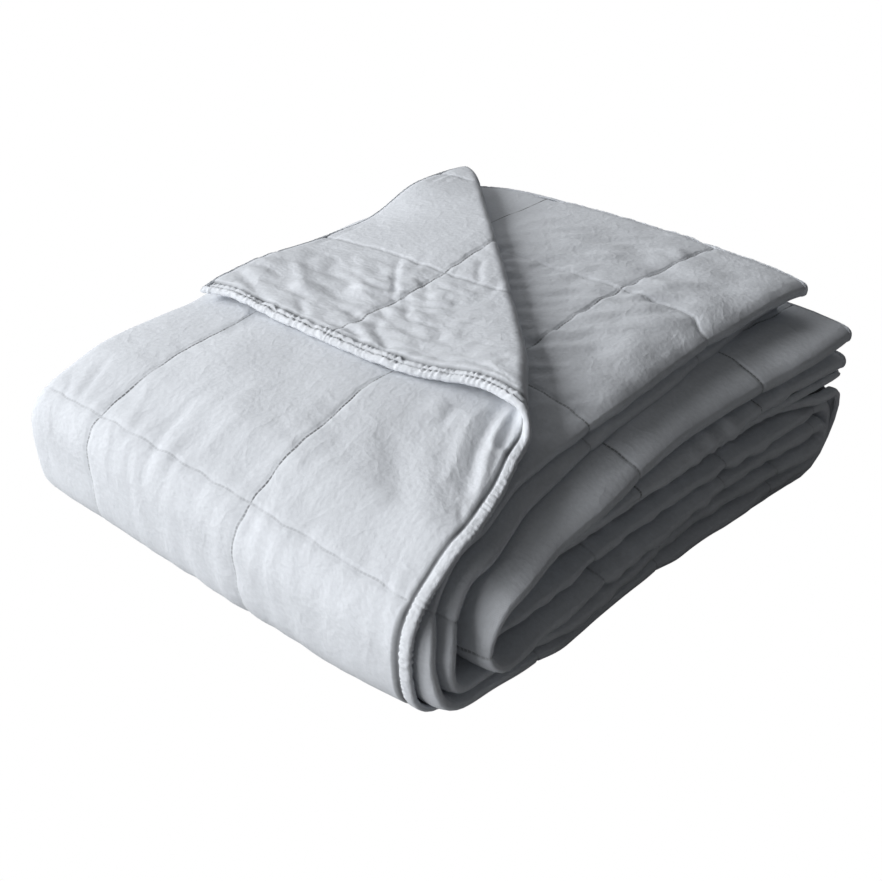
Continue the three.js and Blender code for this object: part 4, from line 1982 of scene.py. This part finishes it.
@dataclass(frozen=True)
class SoftBox:
    """A flat studio light.

    Attributes:
        name: Name of the light.
        place: Where it stands, in metres.
        aim: What it points at, in metres.
        width: Its width, in metres.
        height: Its height, in metres.
        power: Power in watts.
    """

    name: str
    place: tuple[float, float, float]
    aim: tuple[float, float, float]
    width: float
    height: float
    power: float

    def build(self) -> None:
        """Adds the light to the scene."""
        lamp = bpy.data.lights.new(self.name, "AREA")
        lamp.shape = "RECTANGLE"
        lamp.size = self.width
        lamp.size_y = self.height
        lamp.energy = self.power
        made = bpy.data.objects.new(self.name, lamp)
        way = Vector(self.place) - Vector(self.aim)
        turn = way.to_track_quat("Z", "Y").to_matrix().to_4x4()
        made.matrix_world = Matrix.Translation(self.place) @ turn
        bpy.context.scene.collection.objects.link(made)


@dataclass(frozen=True)
class Studio:
    """A pale floor, soft light and the camera at the photograph's angle.

    Attributes:
        lights: The soft lights.
        floor_size: Length of the floor's sides, in metres.
        floor_drop: How far the floor lies below the quilt, in metres.
        floor_tone: How much light the floor gives back.
        fill: Strength of the light from all round.
        white: Strength of the white behind the quilt.
        camera_place: Where the camera stands, in metres.
        camera_right: Direction to the right of its picture.
        camera_up: Direction to the top of its picture.
        lens: Focal length, in mm.
        sensor: Width of the sensor, in mm.
    """

    lights: tuple[SoftBox, ...]
    floor_size: float = 12.0
    floor_drop: float = 0.0006
    floor_tone: float = 0.34
    fill: float = 0.085
    white: float = 1.0
    camera_place: tuple[float, float, float] = (0.73955, -0.77474, 0.67291)
    camera_right: tuple[float, float, float] = (0.7202, 0.6938, 0.0)
    camera_up: tuple[float, float, float] = (-0.3494, 0.3627, 0.8639)
    lens: float = 56.186
    sensor: float = 36.0

    def add_camera(self) -> None:
        """Sets the camera at the photograph's angle."""
        data = bpy.data.cameras.new("camera")
        data.lens = self.lens
        data.sensor_fit = "HORIZONTAL"
        data.sensor_width = self.sensor
        right = Vector(self.camera_right).normalized()
        back = right.cross(Vector(self.camera_up)).normalized()
        up = back.cross(right)
        camera = bpy.data.objects.new("camera", data)
        turn = Matrix((right, up, back)).transposed().to_4x4()
        camera.matrix_world = Matrix.Translation(self.camera_place) @ turn
        bpy.context.scene.collection.objects.link(camera)
        bpy.context.scene.camera = camera

    def add_floor(self) -> None:
        """Adds a floor that looks white and gives little light back."""
        bm = bmesh.new()
        bmesh.ops.create_grid(bm, x_segments=1, y_segments=1, size=self.floor_size / 2.0)
        bmesh.ops.translate(bm, verts=bm.verts, vec=(0.0, 0.0, -self.floor_drop))
        mesh = bpy.data.meshes.new("floor")
        bm.to_mesh(mesh)
        bm.free()
        floor = bpy.data.objects.new("floor", mesh)
        bpy.context.scene.collection.objects.link(floor)
        paint = bpy.data.materials.new("pale_floor")
        paint.use_nodes = True
        graph = Graph(paint.node_tree)
        seen = graph.node("ShaderNodeLightPath").outputs["Is Camera Ray"]
        tone = (self.floor_tone,) * 3 + (1.0,)
        matt = graph.node("ShaderNodeBsdfDiffuse", {"Color": tone}).outputs[0]
        bright = graph.node("ShaderNodeEmission", {"Color": WHITE, "Strength": self.white}).outputs[0]
        surface = graph.node("ShaderNodeMixShader", {0: seen, 1: matt, 2: bright}).outputs[0]
        graph.node("ShaderNodeOutputMaterial", {"Surface": surface})
        mesh.materials.append(paint)

    def add_world(self) -> None:
        """Sets a white backdrop and a dim fill."""
        world = bpy.data.worlds.new("studio")
        world.use_nodes = True
        graph = Graph(world.node_tree)
        seen = graph.node("ShaderNodeLightPath").outputs["Is Camera Ray"]
        strength = graph.math("MULTIPLY_ADD", seen, self.white - self.fill, self.fill)
        sky = graph.node("ShaderNodeBackground", {"Color": WHITE, "Strength": strength})
        graph.node("ShaderNodeOutputWorld", {"Surface": sky.outputs[0]})
        bpy.context.scene.world = world

    def build(self) -> None:
        """Sets the whole studio up."""
        self.add_camera()
        self.add_floor()
        self.add_world()
        for light in self.lights:
            light.build()
        bpy.context.scene.view_settings.view_transform = "Standard"


# Where the seams drift off their grid on the turned corner and the second layer
DRIFTS = (
    Drift(172.0, 190.0, 110.0, 150.0, -38.0, 0.0),
    Drift(190.0, 150.0, 150.0, 110.0, 0.0, 24.0),
    Drift(850.0, 140.0, 110.0, 60.0, 0.0, -11.0),
)

# Hollows and ridges of the turned corner, of the cloth by the hem and of the second layer
CREASES = (
    Crease(38.0, 7.0, 8.0, 64.0, 7.0, 2.0),
    Crease(91.0, 33.0, 49.0, 73.0, 8.0, -1.7),
    Crease(118.0, 49.0, 62.0, 106.0, 9.0, 1.5),
    Crease(140.0, 70.0, 80.0, 116.0, 7.0, -0.7),
    Crease(34.0, 81.0, 14.0, 105.0, 4.0, 1.4),
    Crease(165.0, 93.0, 96.0, 140.0, 3.4, 1.2),
    Crease(162.0, 101.0, 107.0, 139.0, 3.4, -0.3),
    Crease(146.0, 140.0, 107.0, 166.0, 4.5, 0.6),
    Crease(111.0, 140.0, 88.0, 165.0, 4.5, 0.9),
    Crease(26.0, 145.0, 10.0, 170.0, 3.6, 1.0),
    Crease(36.0, 147.0, 12.0, 180.0, 3.6, -0.8),
    Crease(46.0, 154.0, 14.0, 194.0, 3.6, 1.2),
    Crease(206.0, 155.0, 176.0, 177.0, 3.2, 0.9),
    Crease(205.0, 162.0, 174.0, 190.0, 3.2, -0.2),
    Crease(26.0, 264.0, 14.0, 323.0, 2.2, 0.6),
    Crease(148.0, 13.0, 206.0, 12.0, 2.6, 1.0),
    Crease(318.0, 15.0, 356.0, 13.0, 3.0, 0.8),
    Crease(324.0, 25.0, 350.0, 22.0, 2.6, 0.6),
    Crease(102.0, 336.0, 102.0, 374.0, 6.5, 0.8),
    Crease(86.0, 334.0, 84.0, 378.0, 6.0, -1.2),
    Crease(70.0, 334.0, 45.0, 420.0, 7.0, 1.2),
    Crease(51.0, 334.0, 27.0, 420.0, 6.0, -1.6),
    Crease(38.0, 336.0, 16.0, 414.0, 4.5, 1.6),
    Crease(27.0, 338.0, 17.0, 366.0, 4.5, -1.3),
    Crease(28.0, 371.0, 12.0, 366.0, 2.6, 1.3),
    Crease(404.0, 464.0, 380.0, 501.0, 3.6, -0.8),
    Crease(411.0, 474.0, 390.0, 500.0, 3.4, 0.8),
    Crease(417.0, 485.0, 403.0, 500.0, 2.8, -0.7),
    Crease(409.0, 506.0, 394.0, 534.0, 2.8, -0.6),
    Crease(341.0, 464.0, 314.0, 501.0, 4.2, 0.7),
    Crease(329.0, 503.0, 318.0, 516.0, 2.4, -0.8),
    Crease(300.0, 506.0, 290.0, 552.0, 4.0, -0.5),
    Crease(24.0, 430.0, 13.0, 444.0, 2.4, -1.0),
    Crease(120.0, 407.0, 60.0, 461.0, 12.0, -1.2),
    Crease(84.0, 400.0, 30.0, 461.0, 13.0, 1.2),
    Crease(560.0, 78.0, 600.0, 40.0, 3.6, 1.0),
    Crease(765.0, 277.0, 847.0, 221.0, 4.0, -0.5),
    Crease(772.0, 283.0, 850.0, 230.0, 4.0, 0.4),
    Crease(743.0, 49.0, 764.0, 57.0, 3.2, 1.0),
    Crease(746.0, 36.0, 764.0, 41.0, 3.2, -0.8),
)

CRUMPLES = (
    # Cloth by the hem, turned corner and second layer
    Crumple(220.0, 480.0, 260.0, 190.0, Ripple(80.0, 0.4, 3)),
    Crumple(220.0, 530.0, 240.0, 90.0, Ripple(20.0, 0.3, 4, 90.0, 4.0)),
    Crumple(70.0, 110.0, 100.0, 130.0, Ripple(40.0, 0.7, 5), True),
    Crumple(110.0, 150.0, 70.0, 80.0, Ripple(26.0, 0.42, 12), True),
    Crumple(30.0, 200.0, 40.0, 190.0, Ripple(18.0, 0.25, 13)),
    Crumple(720.0, 200.0, 190.0, 260.0, Ripple(17.0, 0.36, 8, -44.0, 5.0)),
    Crumple(760.0, 160.0, 170.0, 200.0, Ripple(24.0, 0.4, 22, -40.0, 4.0), True),
    Crumple(760.0, 240.0, 130.0, 240.0, Ripple(60.0, 0.5, 9)),
    # Puckers along the folds on the right
    Crumple(872.0, 1760.0, 40.0, 240.0, Ripple(26.0, 0.9, 31, 0.0, 3.0)),
    Crumple(1744.0, 1340.0, 40.0, 230.0, Ripple(26.0, 0.8, 32, 0.0, 3.0)),
    Crumple(872.0, 1340.0, 40.0, 230.0, Ripple(26.0, 0.8, 33, 0.0, 3.0)),
    Crumple(1744.0, 870.0, 40.0, 200.0, Ripple(30.0, 0.6, 34, 0.0, 3.0)),
)

KEY = SoftBox("key", (-3.44, -2.4, 2.35), (0.0, 0.0, 0.08), 4.5, 2.7, 251.0)
FRONT_FILL = SoftBox("front_fill", (-1.3, -4.3, 0.6), (0.0, 0.0, 0.08), 3.6, 1.3, 96.0)
TOP_FILL = SoftBox("top_fill", (-2.0, 1.6, 1.9), (0.0, 0.0, 0.1), 2.4, 1.4, 21.0)

QUILT_COTTON = CottonFinish("quilt_cotton", (0.66, 0.69, 0.735))
BINDING_COTTON = CottonFinish("binding_cotton", (0.68, 0.71, 0.755), crinkle=0.0013, has_seams=False)


def main() -> None:
    """Builds the studio, the sheet and its binding."""
    logging.basicConfig(level=logging.INFO, format="%(name)s %(message)s")
    Studio((KEY, FRONT_FILL, TOP_FILL)).build()
    fold = PackFold()
    quilting = Quilting(fold, DRIFTS)
    relief = Relief(fold, CREASES, CRUMPLES)
    sheet = QuiltSheet(fold, quilting, relief, MeshSteps(fold), StitchShade(fold))
    cloth = sheet.build()
    sheet.dress(cloth, QUILT_COTTON)
    strip = Binding(fold, relief)
    binding = strip.build()
    strip.dress(binding, BINDING_COTTON)
    for piece in (cloth, binding):
        LOG.info("%s: %d faces", piece.name, len(piece.data.polygons))


if __name__ == "__main__":
    main()
